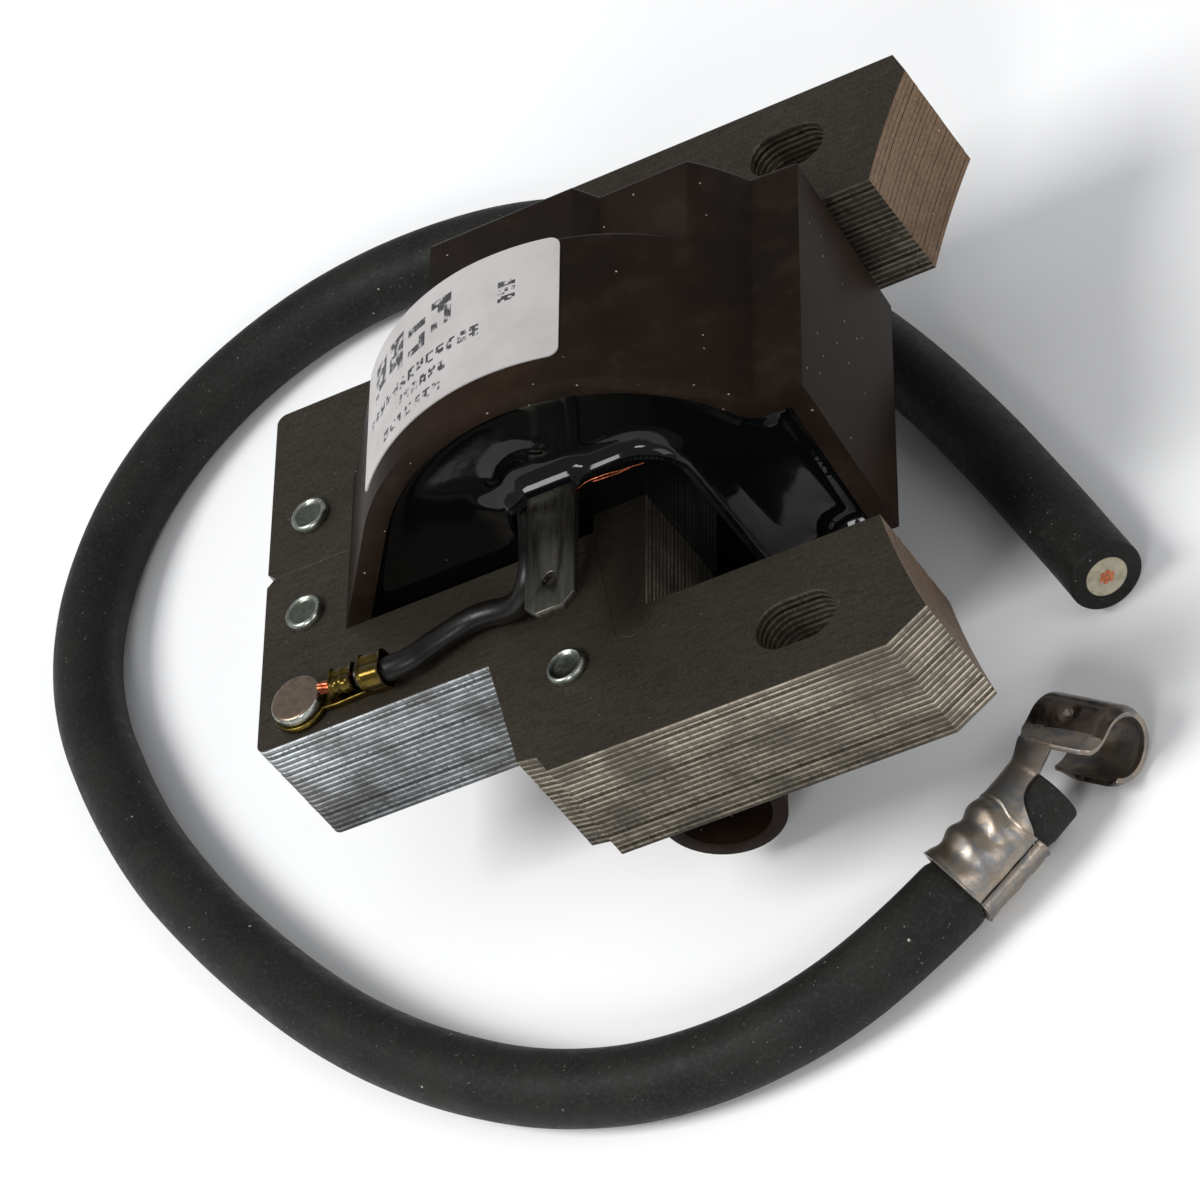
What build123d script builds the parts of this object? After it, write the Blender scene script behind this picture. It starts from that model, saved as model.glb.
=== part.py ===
from build123d import *
from math import acos, asin, atan2, cos, degrees, hypot, pi, radians, sin, sqrt, tan
import os

# Small-engine ignition coil: a laminated two-pole core, a potted housing over its
# window, and a loose spark plug lead. Millimetres.
# X runs along the two arms towards the flywheel, Y along the winding's axis and
# Z through the thickness of the lamination stack. The origin is half way between
# the two mounting slots, on the back face of the stack.

# ---------------------------------------------------------------- driving sizes
stack = 12.7  # thickness of the lamination stack, half an inch
slot_spacing = 56.6  # between the two mounting slots, along Y
slot_width = 5.1
slot_length = 7.6  # end to end, along X
flywheel_r = 82.35  # radius that the two pole faces are ground to
slack = 0.05  # clearance of a riveted or slipped fit, on the radius

# ------------------------------------------------------------------------- core
yoke_x = -53.7  # outer edge of the yoke
yoke_width = 8.8
yoke_half = 20.46
window_x = yoke_x + yoke_width  # where the winding window starts
block_y = 9.5  # inner edge of the blocks beside the window
arm_in = 20.16  # inner edge of the arms
arm_out = 34.8  # outer edge of the arms
pole_in_x = 8.2
pole_out_x = 12.2
pole_out_y = 32.15
shoulder_x = -30.0  # where the yoke's outline starts to widen into the arm
flare_x = -26.9
flare_y = 32.6
heel_x = -25.0
heel_y = 32.9
arm_start_x = -23.9
lower_chamfer_x = 8.4
upper_chamfer_x = 11.0
flywheel_x = pole_in_x + sqrt(flywheel_r**2 - arm_in**2)
yoke_corner_r = 1.0
split_notch = 0.8  # V where the two halves of the yoke meet, at its outer edge

# The centre leg is a separate bar whose tapered ends are pressed into both halves.
leg_left = -19.7
leg_right = -14.4
leg_mid_x = (leg_left + leg_right) / 2
leg_mid_z = stack / 2
tail_left = -17.3
tail_y = 22.4
tail_tip_y = 23.2
tail_right = -14.0
tail_right_y = 21.5
tail_mid = (tail_left + tail_right) / 2

# ----------------------------------------------------------------------- rivets
rivet_r = 1.25
rivet_head_r = 1.9
rivet_head = 0.75
rivet_dish_r = 1.15
rivet_dish_floor_r = 0.7
rivet_dish = 0.35
rivet_bulge_r = 1.77
rivet_bulge = 0.52
rivet_edge_r = 0.45
yoke_rivet_x = yoke_x + yoke_width / 2
yoke_rivet_y = 5.9
arm_rivet_x = -22.0
arm_rivet_y = 24.2
ground_x = -48.9
ground_y = -17.1
ground_head_r = 2.55
ground_head = 1.0
ground_edge_r = 0.4

# ---------------------------------------------------------------------- housing
wall = 2.0
rim_y = -9.5  # open, potted end
closed_y = 8.2  # far end of the round body
hood_y = 18.0  # far end of the hood over the upper block
body_x = -19.2  # centre of the round front
body_z = 8.8
body_r = 22.5
back_x = -20.2  # centre of the round back
back_z = 4.5
back_r = 21.0
land_z = -15.0  # flat that the coil stands on
ear_x = 4.9  # flat side towards the flywheel
ear_z = 19.8
ear_low_x = 3.7
ear_low_z = 0.2
fold_x = 0.3
hood_left = -28.3
hood_top = 27.0
hood_step_x = -13.7
hood_low_x = -12.2
hood_low = 24.8
edge_r = 0.8
leg_gap = 0.2

# Socket for the lead, on a tower behind the lower arm.
tower_x = -17.6
tower_z = -6.3
tower_r = 5.7
tower_bore_r = 4.35
tower_mouth_y = -28.2
tower_bore = 18.0
tower_base_y = -6.6
spike_pocket_r = 2.2
spike_pocket = 1.8
spike_r = 0.9
spike_tip_r = 0.25
spike_tip = 0.8
spike_head_r = 1.15
spike_head = 0.4
tap_w = 1.6  # strip from the contact to the outermost turn
tap_t = 0.3
tap_back_y = -3.5
tap_clear = 0.1
bulkhead_z = -0.6
bulkhead = 2.0
beyond = 3 * body_r  # size of a cut that reaches past the housing

# --------------------------------------------------------------------- windings
former_wall = 0.9
former_y0 = -6.4
former_y1 = 6.0
former_flange = 0.8
primary_build = 3.3
hv_former_wall = 1.0
hv_former_y0 = -5.8
hv_former_y1 = 5.4
hv_build = 3.4
hv_flange = 0.6
hv_flange_rim = 0.6
former_gap = 0.05
round_small = 1.0
round_primary = 3.2
round_hv = 8.0

# ------------------------------------------------------ electronics in the hood
board_x0 = -25.6
board_x1 = -4.6
board_z0 = 15.2
board_z1 = 22.4
board_y = 11.4
board_t = 1.2
darlington_w = 7.6
darlington_h = 6.4
darlington_t = 2.6
darlington_x = -20.6
darlington_edge_r = 0.3
trigger_r = 1.5
trigger_h = 4.6
trigger_x = -11.6
resistor_r = 1.1
resistor_l = 5.6
resistor_x = -6.8
resistor_edge_r = 0.4
pin_w = 0.5
pin_t = 0.4
pin_pitch = 2.3
pin_length = 0.8
pin_count = 3
board_mid_z = (board_z0 + board_z1) / 2

# ---------------------------------------------------------------------- potting
potting_y = -8.9
boss_y = -9.5
boss_w = 16.6
boss_h = 26.0
boss_r = 4.0

# ------------------------------------------------------------- stop-wire blade
blade_w = 4.8
blade_t = 0.8
blade_x = -19.8
blade_top = 19.7
blade_tip_y = -23.8
blade_root_y = -7.0
blade_corner = 1.1
blade_hole_r = 0.7
blade_hole_y = -20.3

# ------------------------------------------------------------------ ground wire
wire_r = 1.15
strand_r = 0.55
wire_points = [
    (-23.6, -7.2, 17.6),
    (-23.7, -11.6, 17.4),
    (-25.4, -15.2, 14.0),
    (-30.6, -15.7, 13.9),
    (-35.0, -16.7, 14.2),
    (-38.04, -18.05, 14.6),
]
wire_radii = [3.0, 3.0, 5.0, 8.0, 4.4]
lug_t = 0.7
lug_r = 2.8
lug_turn = -5.0  # of the ring terminal about Z, towards the wire
lug_neck_w = 2.6
crimp_x0 = 4.2  # along the terminal, from the rivet's centre
crimp_x1 = 6.5
jacket_crimp_x = 7.4
crimp_x2 = 9.6
crimp_web_w = 1.5
crimp_web_high = 1.0  # under the strands
crimp_web_low = 0.6  # under the jacket
strand_show = 1.1  # bare strands ahead of their crimp
jacket_show = 0.5  # of the jacket ahead of its crimp
strand_crimp_r = 1.15
jacket_crimp_r = 1.65
crimp_wall = 0.4
crimp_z = 1.9  # axis of the two crimps above the stack

# ------------------------------------------------------------------------ label
label_t = 0.15
label_y0 = -6.35
label_y1 = 7.9
label_x0 = -36.2
label_x1 = -12.8
label_corner = 1.0

# --------------------------------------------------------------- high-tension lead
lead_r = 3.5
insulation_r = 1.95
conductor_r = 0.75
lead_gap = 0.03
lead_z = land_z + lead_r  # the lead lies on the surface that the coil stands on
crimp_lift = 0.95  # the crimp barrel holds the lead's end this much off the surface
lead_points = [
    (11.2, -34.4, lead_z + crimp_lift),
    (0.0, -45.0, lead_z + crimp_lift),
    (-17.3, -51.2, lead_z),
    (-36.0, -49.0, lead_z),
    (-55.7, -36.4, lead_z),
    (-72.5, -17.5, lead_z),
    (-84.5, 1.0, lead_z),
    (-93.0, 24.0, lead_z),
    (-88.3, 46.5, lead_z),
    (-70.0, 61.6, lead_z),
    (-45.0, 62.4, lead_z),
    (-24.0, 50.5, lead_z),
    (-6.0, 30.0, lead_z),
    (7.4, 8.5, lead_z),
    (17.7, -12.4, lead_z),
]
corner_share = 0.45  # of the shorter of two runs, taken by the arc between them

# ---------------------------------------------------------------- plug terminal
barrel_wall = 0.5
barrel_start = 3.0  # the lead's cut end stands this far past the barrel
barrel_length = 8.2
barrel_seam = 0.8
barrel_seam_angle = 11.0  # of the seam, up from the side
ridge = 0.4
ridge_w = 1.5
ridge_count = 3
clip_r = 3.75
clip_wall = 0.6
clip_length = 9.4
clip_x = 14.6  # middle of the clip
clip_y = -29.8
clip_turn = -34.0  # of the clip's axis about Z
clip_lip_high = 126.0  # the two edges of the clip's mouth
clip_lip_low = 203.0
mouth = 3 * clip_r  # reach of the cut that opens the clip
neck_w = 4.0
neck_t = 0.6
neck_angle = 131.0  # where the neck leaves the barrel, seen along the lead
neck_lift = 0.42  # of the neck's middle above the lead
neck_straight = 3.8
neck_lap = 1.6  # of the neck over the barrel
neck_inset = 0.8
dimple_r = 0.9
dimple_along = 2.9
dimple_rise = 0.5

os.makedirs("parts", exist_ok=True)


def tangent_point(x, z, centre_x, centre_z, radius, side):
    """Where the line from (x, z) touches a circle; side is 1 or -1."""
    away = hypot(x - centre_x, z - centre_z)
    angle = atan2(z - centre_z, x - centre_x) + side * acos(radius / away)
    return centre_x + radius * cos(angle), centre_z + radius * sin(angle)


def on_front(x):
    """Height of the round front above x."""
    return body_z + sqrt(body_r**2 - (x - body_x) ** 2)


# --------------------------------------------------------- lamination stacks
pole_mid_y = (arm_in + pole_out_y) / 2
pole_mid_x = flywheel_x - sqrt(flywheel_r**2 - pole_mid_y**2)


def core_half(side, chamfer_x, rivets, name):
    """Half of the core; side is 1 towards +Y and -1 towards -Y."""
    with BuildPart() as half:
        with BuildSketch(Plane.XY):
            with BuildLine():
                Polyline(
                    (yoke_x + split_notch, 0),
                    (window_x, 0),
                    (window_x, side * block_y),
                    (leg_left, side * block_y),
                    (tail_left, side * tail_y),
                )
                ThreePointArc(
                    (tail_left, side * tail_y),
                    (tail_mid, side * tail_tip_y),
                    (tail_right, side * tail_right_y),
                )
                Polyline(
                    (tail_right, side * tail_right_y),
                    (leg_right, side * arm_in),
                    (pole_in_x, side * arm_in),
                )
                ThreePointArc(
                    (pole_in_x, side * arm_in),
                    (pole_mid_x, side * pole_mid_y),
                    (pole_out_x, side * pole_out_y),
                )
                Polyline(
                    (pole_out_x, side * pole_out_y),
                    (chamfer_x, side * arm_out),
                    (arm_start_x, side * arm_out),
                    (heel_x, side * heel_y),
                    (flare_x, side * flare_y),
                    (shoulder_x, side * yoke_half),
                    (yoke_x, side * yoke_half),
                    (yoke_x, side * split_notch),
                    (yoke_x + split_notch, 0),
                )
            make_face()
            with Locations((0, side * slot_spacing / 2)):
                SlotOverall(slot_length, slot_width, mode=Mode.SUBTRACT)
            with Locations(*rivets):
                Circle(rivet_r + slack, mode=Mode.SUBTRACT)
        extrude(amount=stack)
        yoke_end = half.edges().filter_by(Axis.Z).group_by(Axis.X)[0]
        fillet(yoke_end.sort_by(lambda edge: side * edge.center().Y)[-1], yoke_corner_r)
    half.part.label = name
    return half


lower_core = core_half(
    -1,
    lower_chamfer_x,
    [(yoke_rivet_x, -yoke_rivet_y), (arm_rivet_x, -arm_rivet_y), (ground_x, ground_y)],
    "lower_core",
)
upper_core = core_half(
    1,
    upper_chamfer_x,
    [(yoke_rivet_x, yoke_rivet_y), (arm_rivet_x, arm_rivet_y)],
    "upper_core",
)

with BuildPart() as center_core:
    with BuildSketch(Plane.XY):
        with BuildLine():
            Polyline(
                (tail_left, -tail_y),
                (leg_left, -block_y),
                (leg_left, block_y),
                (tail_left, tail_y),
            )
            ThreePointArc(
                (tail_left, tail_y),
                (tail_mid, tail_tip_y),
                (tail_right, tail_right_y),
            )
            Polyline(
                (tail_right, tail_right_y),
                (leg_right, arm_in),
                (leg_right, -arm_in),
                (tail_right, -tail_right_y),
            )
            ThreePointArc(
                (tail_right, -tail_right_y),
                (tail_mid, -tail_tip_y),
                (tail_left, -tail_y),
            )
        make_face()
    extrude(amount=stack)
center_core.part.label = "center_core"


# --------------------------------------------------------------------- rivets
def rivet(x, y, name):
    """A tubular rivet through the stack, with a dished head on both faces."""
    with BuildPart() as one:
        with BuildSketch(Plane.XZ):
            with BuildLine():
                Polyline((0, 0), (rivet_r, 0), (rivet_r, stack), (rivet_head_r, stack))
                ThreePointArc(
                    (rivet_head_r, stack),
                    (rivet_bulge_r, stack + rivet_bulge),
                    (rivet_dish_r, stack + rivet_head),
                )
                Polyline(
                    (rivet_dish_r, stack + rivet_head),
                    (rivet_dish_floor_r, stack + rivet_head - rivet_dish),
                    (0, stack + rivet_head - rivet_dish),
                    (0, 0),
                )
            make_face()
        revolve(axis=Axis.Z)
        with BuildSketch(Plane.XY):
            Circle(rivet_head_r)
        extrude(amount=-rivet_head)
        fillet(one.edges().sort_by(Axis.Z)[0], rivet_edge_r)
    solid = one.part.moved(Location((x, y, 0)))
    solid.label = name
    return solid


lower_yoke_rivet = rivet(yoke_rivet_x, -yoke_rivet_y, "lower_yoke_rivet")
upper_yoke_rivet = rivet(yoke_rivet_x, yoke_rivet_y, "upper_yoke_rivet")
lower_arm_rivet = rivet(arm_rivet_x, -arm_rivet_y, "lower_arm_rivet")
upper_arm_rivet = rivet(arm_rivet_x, arm_rivet_y, "upper_arm_rivet")

with BuildPart() as ground_rivet:
    with Locations((ground_x, ground_y, 0)):
        Cylinder(rivet_r, stack + lug_t, align=(Align.CENTER, Align.CENTER, Align.MIN))
    with Locations((ground_x, ground_y, stack + lug_t)):
        Cylinder(ground_head_r, ground_head, align=(Align.CENTER, Align.CENTER, Align.MIN))
    fillet(ground_rivet.edges().sort_by(Axis.Z)[-1], ground_edge_r)
    with Locations((ground_x, ground_y, 0)):
        Cylinder(rivet_head_r, rivet_head, align=(Align.CENTER, Align.CENTER, Align.MAX))
ground_rivet.part.label = "ground_rivet"

# ------------------------------------------------------- ring terminal and wire
lug_x_dir = (cos(radians(lug_turn)), sin(radians(lug_turn)), 0)
lug_plane = Plane(origin=(ground_x, ground_y, stack), x_dir=lug_x_dir, z_dir=(0, 0, 1))
crimp_plane = Plane(
    origin=lug_plane.from_local_coords(Vector(crimp_x0, 0, crimp_z)),
    x_dir=(0, 0, 1),
    z_dir=lug_x_dir,
)

with BuildPart() as ground_terminal:
    with BuildSketch(lug_plane):
        Circle(lug_r)
        with Locations((crimp_x1 / 2, 0)):
            Rectangle(crimp_x1, lug_neck_w)
        Circle(rivet_r + slack, mode=Mode.SUBTRACT)
    extrude(amount=lug_t)
    with BuildSketch(crimp_plane):
        Circle(strand_crimp_r)
        Circle(strand_crimp_r - crimp_wall, mode=Mode.SUBTRACT)
    extrude(amount=crimp_x1 - crimp_x0)
    with BuildSketch(crimp_plane.offset(jacket_crimp_x - crimp_x0)):
        Circle(jacket_crimp_r)
        Circle(jacket_crimp_r - crimp_wall, mode=Mode.SUBTRACT)
    extrude(amount=crimp_x2 - jacket_crimp_x)
    with BuildSketch(lug_plane):
        with Locations(((crimp_x0 + crimp_x1) / 2, 0)):
            Rectangle(crimp_x1 - crimp_x0, crimp_web_w)
    extrude(amount=crimp_web_high)
    with BuildSketch(lug_plane):
        with Locations(((crimp_x1 + crimp_x2) / 2, 0)):
            Rectangle(crimp_x2 - crimp_x1, crimp_web_w)
    extrude(amount=crimp_web_low)
ground_terminal.part.label = "ground_terminal"

jacket_end_x = jacket_crimp_x - jacket_show
wire_end = lug_plane.from_local_coords(Vector(jacket_end_x, 0, crimp_z))

with BuildPart() as ground_wire_jacket:
    with BuildLine():
        wire_route = FilletPolyline(*wire_points, wire_end, radius=wire_radii)
    with BuildSketch(Plane(origin=wire_route @ 0, z_dir=wire_route % 0)):
        Circle(wire_r)
        Circle(strand_r, mode=Mode.SUBTRACT)
    sweep(path=wire_route)
ground_wire_jacket.part.label = "ground_wire_jacket"

with BuildPart() as ground_wire_strands:
    with BuildLine():
        strand_route = FilletPolyline(*wire_points, wire_end, radius=wire_radii)
    with BuildSketch(Plane(origin=strand_route @ 0, z_dir=strand_route % 0)):
        Circle(strand_r)
    sweep(path=strand_route)
    with BuildSketch(Plane(origin=wire_end, z_dir=-crimp_plane.z_dir)):
        Circle(strand_r)
    extrude(amount=jacket_end_x - crimp_x0 + strand_show)
ground_wire_strands.part.label = "ground_wire_strands"

# -------------------------------------------------------------------- housing
left_x, left_z = tangent_point(window_x, stack, body_x, body_z, body_r, -1)
low_x, low_z = tangent_point(window_x, 0, back_x, back_z, back_r, 1)
hood_meet_x = body_x + sqrt(body_r**2 - (hood_low - body_z) ** 2)
land_half = sqrt(back_r**2 - (land_z - back_z) ** 2)
step_x = back_x + sqrt(back_r**2 - (ear_low_z - back_z) ** 2)
land_angle = asin((back_z - land_z) / back_r)
step_angle = asin((back_z - ear_low_z) / back_r)
low_angle = asin((back_z - low_z) / back_r)
right_mid = -(land_angle + step_angle) / 2
left_mid = pi + (land_angle + low_angle) / 2

with BuildSketch() as body_section:
    with BuildLine():
        Polyline((low_x, low_z), (window_x, 0), (window_x, stack), (left_x, left_z))
        ThreePointArc(
            (left_x, left_z), (body_x, body_z + body_r), (fold_x, on_front(fold_x))
        )
        Polyline(
            (fold_x, on_front(fold_x)),
            (ear_x, ear_z),
            (ear_low_x, ear_low_z),
            (step_x, ear_low_z),
        )
        ThreePointArc(
            (step_x, ear_low_z),
            (back_x + back_r * cos(right_mid), back_z + back_r * sin(right_mid)),
            (back_x + land_half, land_z),
        )
        Line((back_x + land_half, land_z), (back_x - land_half, land_z))
        ThreePointArc(
            (back_x - land_half, land_z),
            (back_x + back_r * cos(left_mid), back_z + back_r * sin(left_mid)),
            (low_x, low_z),
        )
    make_face()

with BuildSketch() as hood_section:
    with BuildLine():
        Polyline(
            (hood_left, stack),
            (hood_left, hood_top),
            (hood_step_x, hood_top),
            (hood_low_x, hood_low),
            (hood_meet_x, hood_low),
        )
        RadiusArc((hood_meet_x, hood_low), (fold_x, on_front(fold_x)), body_r)
        Polyline(
            (fold_x, on_front(fold_x)),
            (ear_x, ear_z),
            (ear_low_x, ear_low_z),
            (leg_right + leg_gap, ear_low_z),
            (leg_right + leg_gap, stack),
            (hood_left, stack),
        )
    make_face()


def across(y):
    """The plane at y that looks along -Y, with X across it and Z up it."""
    return Plane.XZ.offset(-y)


def inside_of(section):
    """What the walls leave free of a section, in the current sketch."""
    add(section.sketch)
    offset(amount=-wall, mode=Mode.REPLACE)


def tower_circle(radius):
    """A circle on the tower's axis, in the current sketch."""
    with Locations((tower_x, tower_z)):
        Circle(radius)


with BuildPart() as coil_housing:
    with BuildSketch(across(closed_y)):
        add(body_section.sketch)
    extrude(amount=closed_y - rim_y)
    fillet(coil_housing.edges().group_by(Axis.Y)[-1], edge_r)
    with BuildSketch(across(hood_y)):
        add(hood_section.sketch)
    extrude(amount=hood_y - closed_y + wall)
    fillet(coil_housing.edges().group_by(Axis.Y)[-1], edge_r)
    with BuildSketch(across(closed_y - wall)):
        inside_of(body_section)
    extrude(amount=closed_y - wall - rim_y, mode=Mode.SUBTRACT)
    with BuildSketch(across(hood_y - wall)):
        inside_of(hood_section)
    extrude(amount=hood_y - closed_y, mode=Mode.SUBTRACT)
    with BuildSketch(across(rim_y + bulkhead)):
        add(body_section.sketch)
        with Locations((body_x, bulkhead_z)):
            Rectangle(beyond, beyond, align=(Align.CENTER, Align.MIN), mode=Mode.SUBTRACT)
    extrude(amount=bulkhead)
    with BuildSketch(across(tower_base_y)):
        tower_circle(tower_r)
    extrude(amount=tower_base_y - tower_mouth_y)
    with BuildSketch(across(tower_mouth_y + tower_bore)):
        tower_circle(tower_bore_r)
    extrude(amount=tower_bore, mode=Mode.SUBTRACT)
    with BuildSketch(across(tower_mouth_y + tower_bore + spike_pocket)):
        tower_circle(spike_pocket_r)
    extrude(amount=spike_pocket, mode=Mode.SUBTRACT)
    with BuildSketch(across(tower_base_y)):
        tower_circle(spike_r)
    extrude(amount=tower_base_y - tower_mouth_y - tower_bore, mode=Mode.SUBTRACT)
    with BuildSketch(across(closed_y)):
        with Locations((leg_mid_x, leg_mid_z)):
            Rectangle(leg_right - leg_left + 2 * leg_gap, stack + 2 * leg_gap)
    extrude(amount=wall, mode=Mode.SUBTRACT)
coil_housing.part.label = "coil_housing"
print("housing", coil_housing.part.volume, len(coil_housing.part.solids()))

# -------------------------------------------------------------------- windings
leg_w_clear = leg_right - leg_left + 2 * leg_gap
leg_h_clear = stack + 2 * leg_gap
former_w = leg_w_clear + 2 * former_wall
former_h = leg_h_clear + 2 * former_wall
primary_w = former_w + 2 * primary_build
primary_h = former_h + 2 * primary_build
hv_bore_w = primary_w + 2 * former_gap
hv_bore_h = primary_h + 2 * former_gap
hv_former_w = hv_bore_w + 2 * hv_former_wall
hv_former_h = hv_bore_h + 2 * hv_former_wall
hv_w = hv_former_w + 2 * hv_build
hv_h = hv_former_h + 2 * hv_build


def sleeve(outer_w, outer_h, outer_r, inner_w, inner_h, inner_r):
    """A rounded frame round the centre leg, in the current sketch."""
    with Locations((leg_mid_x, leg_mid_z)):
        RectangleRounded(outer_w, outer_h, outer_r)
        RectangleRounded(inner_w, inner_h, inner_r, mode=Mode.SUBTRACT)


with BuildPart() as primary_bobbin:
    with BuildSketch(across(former_y1)):
        sleeve(former_w, former_h, round_small, leg_w_clear, leg_h_clear, leg_gap)
    extrude(amount=former_y1 - former_y0)
    with BuildSketch(across(former_y1), across(former_y0 + former_flange)):
        sleeve(primary_w, primary_h, round_primary, leg_w_clear, leg_h_clear, leg_gap)
    extrude(amount=former_flange)
primary_bobbin.part.label = "primary_bobbin"

with BuildPart() as primary_winding:
    with BuildSketch(across(former_y1 - former_flange)):
        sleeve(primary_w, primary_h, round_primary, former_w, former_h, round_small)
    extrude(amount=former_y1 - former_y0 - 2 * former_flange)
primary_winding.part.label = "primary_winding"

with BuildPart() as secondary_bobbin:
    with BuildSketch(across(hv_former_y1)):
        sleeve(hv_former_w, hv_former_h, round_primary, hv_bore_w, hv_bore_h, round_primary)
    extrude(amount=hv_former_y1 - hv_former_y0)
    with BuildSketch(across(hv_former_y1), across(hv_former_y0 + hv_flange)):
        sleeve(
            hv_w + 2 * hv_flange_rim,
            hv_h + 2 * hv_flange_rim,
            round_hv,
            hv_bore_w,
            hv_bore_h,
            round_primary,
        )
    extrude(amount=hv_flange)
secondary_bobbin.part.label = "secondary_bobbin"

with BuildPart() as secondary_winding:
    with BuildSketch(across(hv_former_y1 - hv_flange)):
        sleeve(hv_w, hv_h, round_hv, hv_former_w, hv_former_h, round_primary)
    extrude(amount=hv_former_y1 - hv_former_y0 - 2 * hv_flange)
secondary_winding.part.label = "secondary_winding"

# ------------------------------------------- contact at the bottom of the tower
spike_tip_y = tower_mouth_y + tower_bore
with BuildPart() as tower_contact:
    with BuildSketch(across(tower_base_y)):
        tower_circle(spike_r)
    extrude(amount=tower_base_y - spike_tip_y - spike_tip)
    with BuildSketch(across(spike_tip_y + spike_tip)):
        tower_circle(spike_r)
    with BuildSketch(across(spike_tip_y)):
        tower_circle(spike_tip_r)
    loft()
    with BuildSketch(across(tower_base_y + spike_head)):
        tower_circle(spike_head_r)
    extrude(amount=spike_head)
tower_contact.part.label = "tower_contact"

winding_low = leg_mid_z - hv_h / 2
tap_low = winding_low - hv_flange_rim - tap_clear - tap_t
tap_front_y = tower_base_y + spike_head
tap_high = tower_z + spike_head_r
with BuildPart() as secondary_tap:
    with BuildSketch(Plane.YZ.offset(tower_x - tap_w / 2)):
        with BuildLine():
            Polyline(
                (tap_front_y, tap_high),
                (tap_front_y + tap_t, tap_high),
                (tap_front_y + tap_t, tap_low + tap_t),
                (tap_back_y - tap_t, tap_low + tap_t),
                (tap_back_y - tap_t, winding_low),
                (tap_back_y, winding_low),
                (tap_back_y, tap_low),
                (tap_front_y, tap_low),
                (tap_front_y, tap_high),
            )
        make_face()
    extrude(amount=tap_w)
secondary_tap.part.label = "secondary_tap"

# ----------------------------------------------------------------- electronics
board_back = board_y + board_t
with BuildPart() as module_board:
    with BuildSketch(across(board_back)):
        with Locations(((board_x0 + board_x1) / 2, board_mid_z)):
            Rectangle(board_x1 - board_x0, board_z1 - board_z0)
    extrude(amount=board_t)
module_board.part.label = "module_board"

with BuildPart() as power_transistor:
    with BuildSketch(across(board_back + darlington_t)):
        with Locations((darlington_x, board_z1 - darlington_h / 2)):
            Rectangle(darlington_w, darlington_h)
    extrude(amount=darlington_t)
    fillet(power_transistor.edges().group_by(Axis.Y)[-1], darlington_edge_r)
    with BuildSketch(across(board_back + pin_t)):
        with Locations((darlington_x, board_z1 - darlington_h)):
            with GridLocations(pin_pitch, pin_length, pin_count, 1):
                Rectangle(pin_w, pin_length, align=(Align.CENTER, Align.MAX))
    extrude(amount=pin_t)
power_transistor.part.label = "power_transistor"

with BuildPart() as trigger_transistor:
    with BuildSketch(Plane.XY.offset(board_mid_z - trigger_h / 2)):
        with Locations((trigger_x, board_back + trigger_r)):
            Circle(trigger_r)
        with Locations((trigger_x, board_back)):
            Rectangle(2 * trigger_r, trigger_r, align=(Align.CENTER, Align.MIN))
    extrude(amount=trigger_h)
trigger_transistor.part.label = "trigger_transistor"

with BuildPart() as bias_resistor:
    with BuildSketch(Plane.XY.offset(board_mid_z - resistor_l / 2)):
        with Locations((resistor_x, board_back + resistor_r)):
            Circle(resistor_r)
    extrude(amount=resistor_l)
    fillet(bias_resistor.edges().group_by(Axis.Z)[0], resistor_edge_r)
    fillet(bias_resistor.edges().group_by(Axis.Z)[-1], resistor_edge_r)
bias_resistor.part.label = "bias_resistor"

# ------------------------------------------------------------- stop-wire blade
with BuildPart() as stop_blade:
    with BuildSketch(Plane.XY.offset(blade_top - blade_t)):
        with Locations((blade_x, blade_root_y)):
            Rectangle(blade_w, blade_root_y - blade_tip_y, align=(Align.CENTER, Align.MAX))
        chamfer(vertices().group_by(Axis.Y)[0], blade_corner)
        with Locations((blade_x, blade_hole_y)):
            Circle(blade_hole_r, mode=Mode.SUBTRACT)
    extrude(amount=blade_t)
stop_blade.part.label = "stop_blade"

# --------------------------------------------------------------------- potting
with BuildPart() as potting:
    with BuildSketch(across(closed_y - wall)):
        inside_of(body_section)
    extrude(amount=closed_y - wall - potting_y)
    with BuildSketch(across(hood_y - wall)):
        inside_of(hood_section)
    extrude(amount=hood_y - closed_y)
    with BuildSketch(across(potting_y)):
        with Locations((leg_mid_x, leg_mid_z)):
            RectangleRounded(boss_w, boss_h, boss_r)
    extrude(amount=potting_y - boss_y)
    with BuildSketch(across(closed_y)):
        with Locations((leg_mid_x, leg_mid_z)):
            Rectangle(leg_w_clear, leg_h_clear)
    extrude(amount=closed_y - former_y0, mode=Mode.SUBTRACT)
    with BuildSketch(across(hv_former_y1)):
        with Locations((leg_mid_x, leg_mid_z)):
            RectangleRounded(hv_bore_w, hv_bore_h, round_primary)
    extrude(amount=hv_former_y1 - hv_former_y0, mode=Mode.SUBTRACT)
    with BuildSketch(across(rim_y + bulkhead)):
        with Locations((body_x, bulkhead_z)):
            Rectangle(beyond, beyond, align=(Align.CENTER, Align.MAX))
    extrude(amount=bulkhead, mode=Mode.SUBTRACT)
    with BuildSketch(across(tower_base_y)):
        tower_circle(tower_r)
    extrude(amount=tower_base_y - rim_y, mode=Mode.SUBTRACT)
    for inside in (
        center_core,
        primary_bobbin,
        primary_winding,
        secondary_bobbin,
        secondary_winding,
        tower_contact,
        secondary_tap,
        module_board,
        power_transistor,
        trigger_transistor,
        bias_resistor,
        stop_blade,
        ground_wire_jacket,
        ground_wire_strands,
    ):
        add(inside.part, mode=Mode.SUBTRACT)
potting.part.label = "potting"
print("potting", [round(solid.volume, 1) for solid in potting.part.solids()])

# ----------------------------------------------------------------------- label
label_a0 = acos((label_x1 - body_x) / body_r)
label_a1 = acos((label_x0 - body_x) / body_r)


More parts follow.
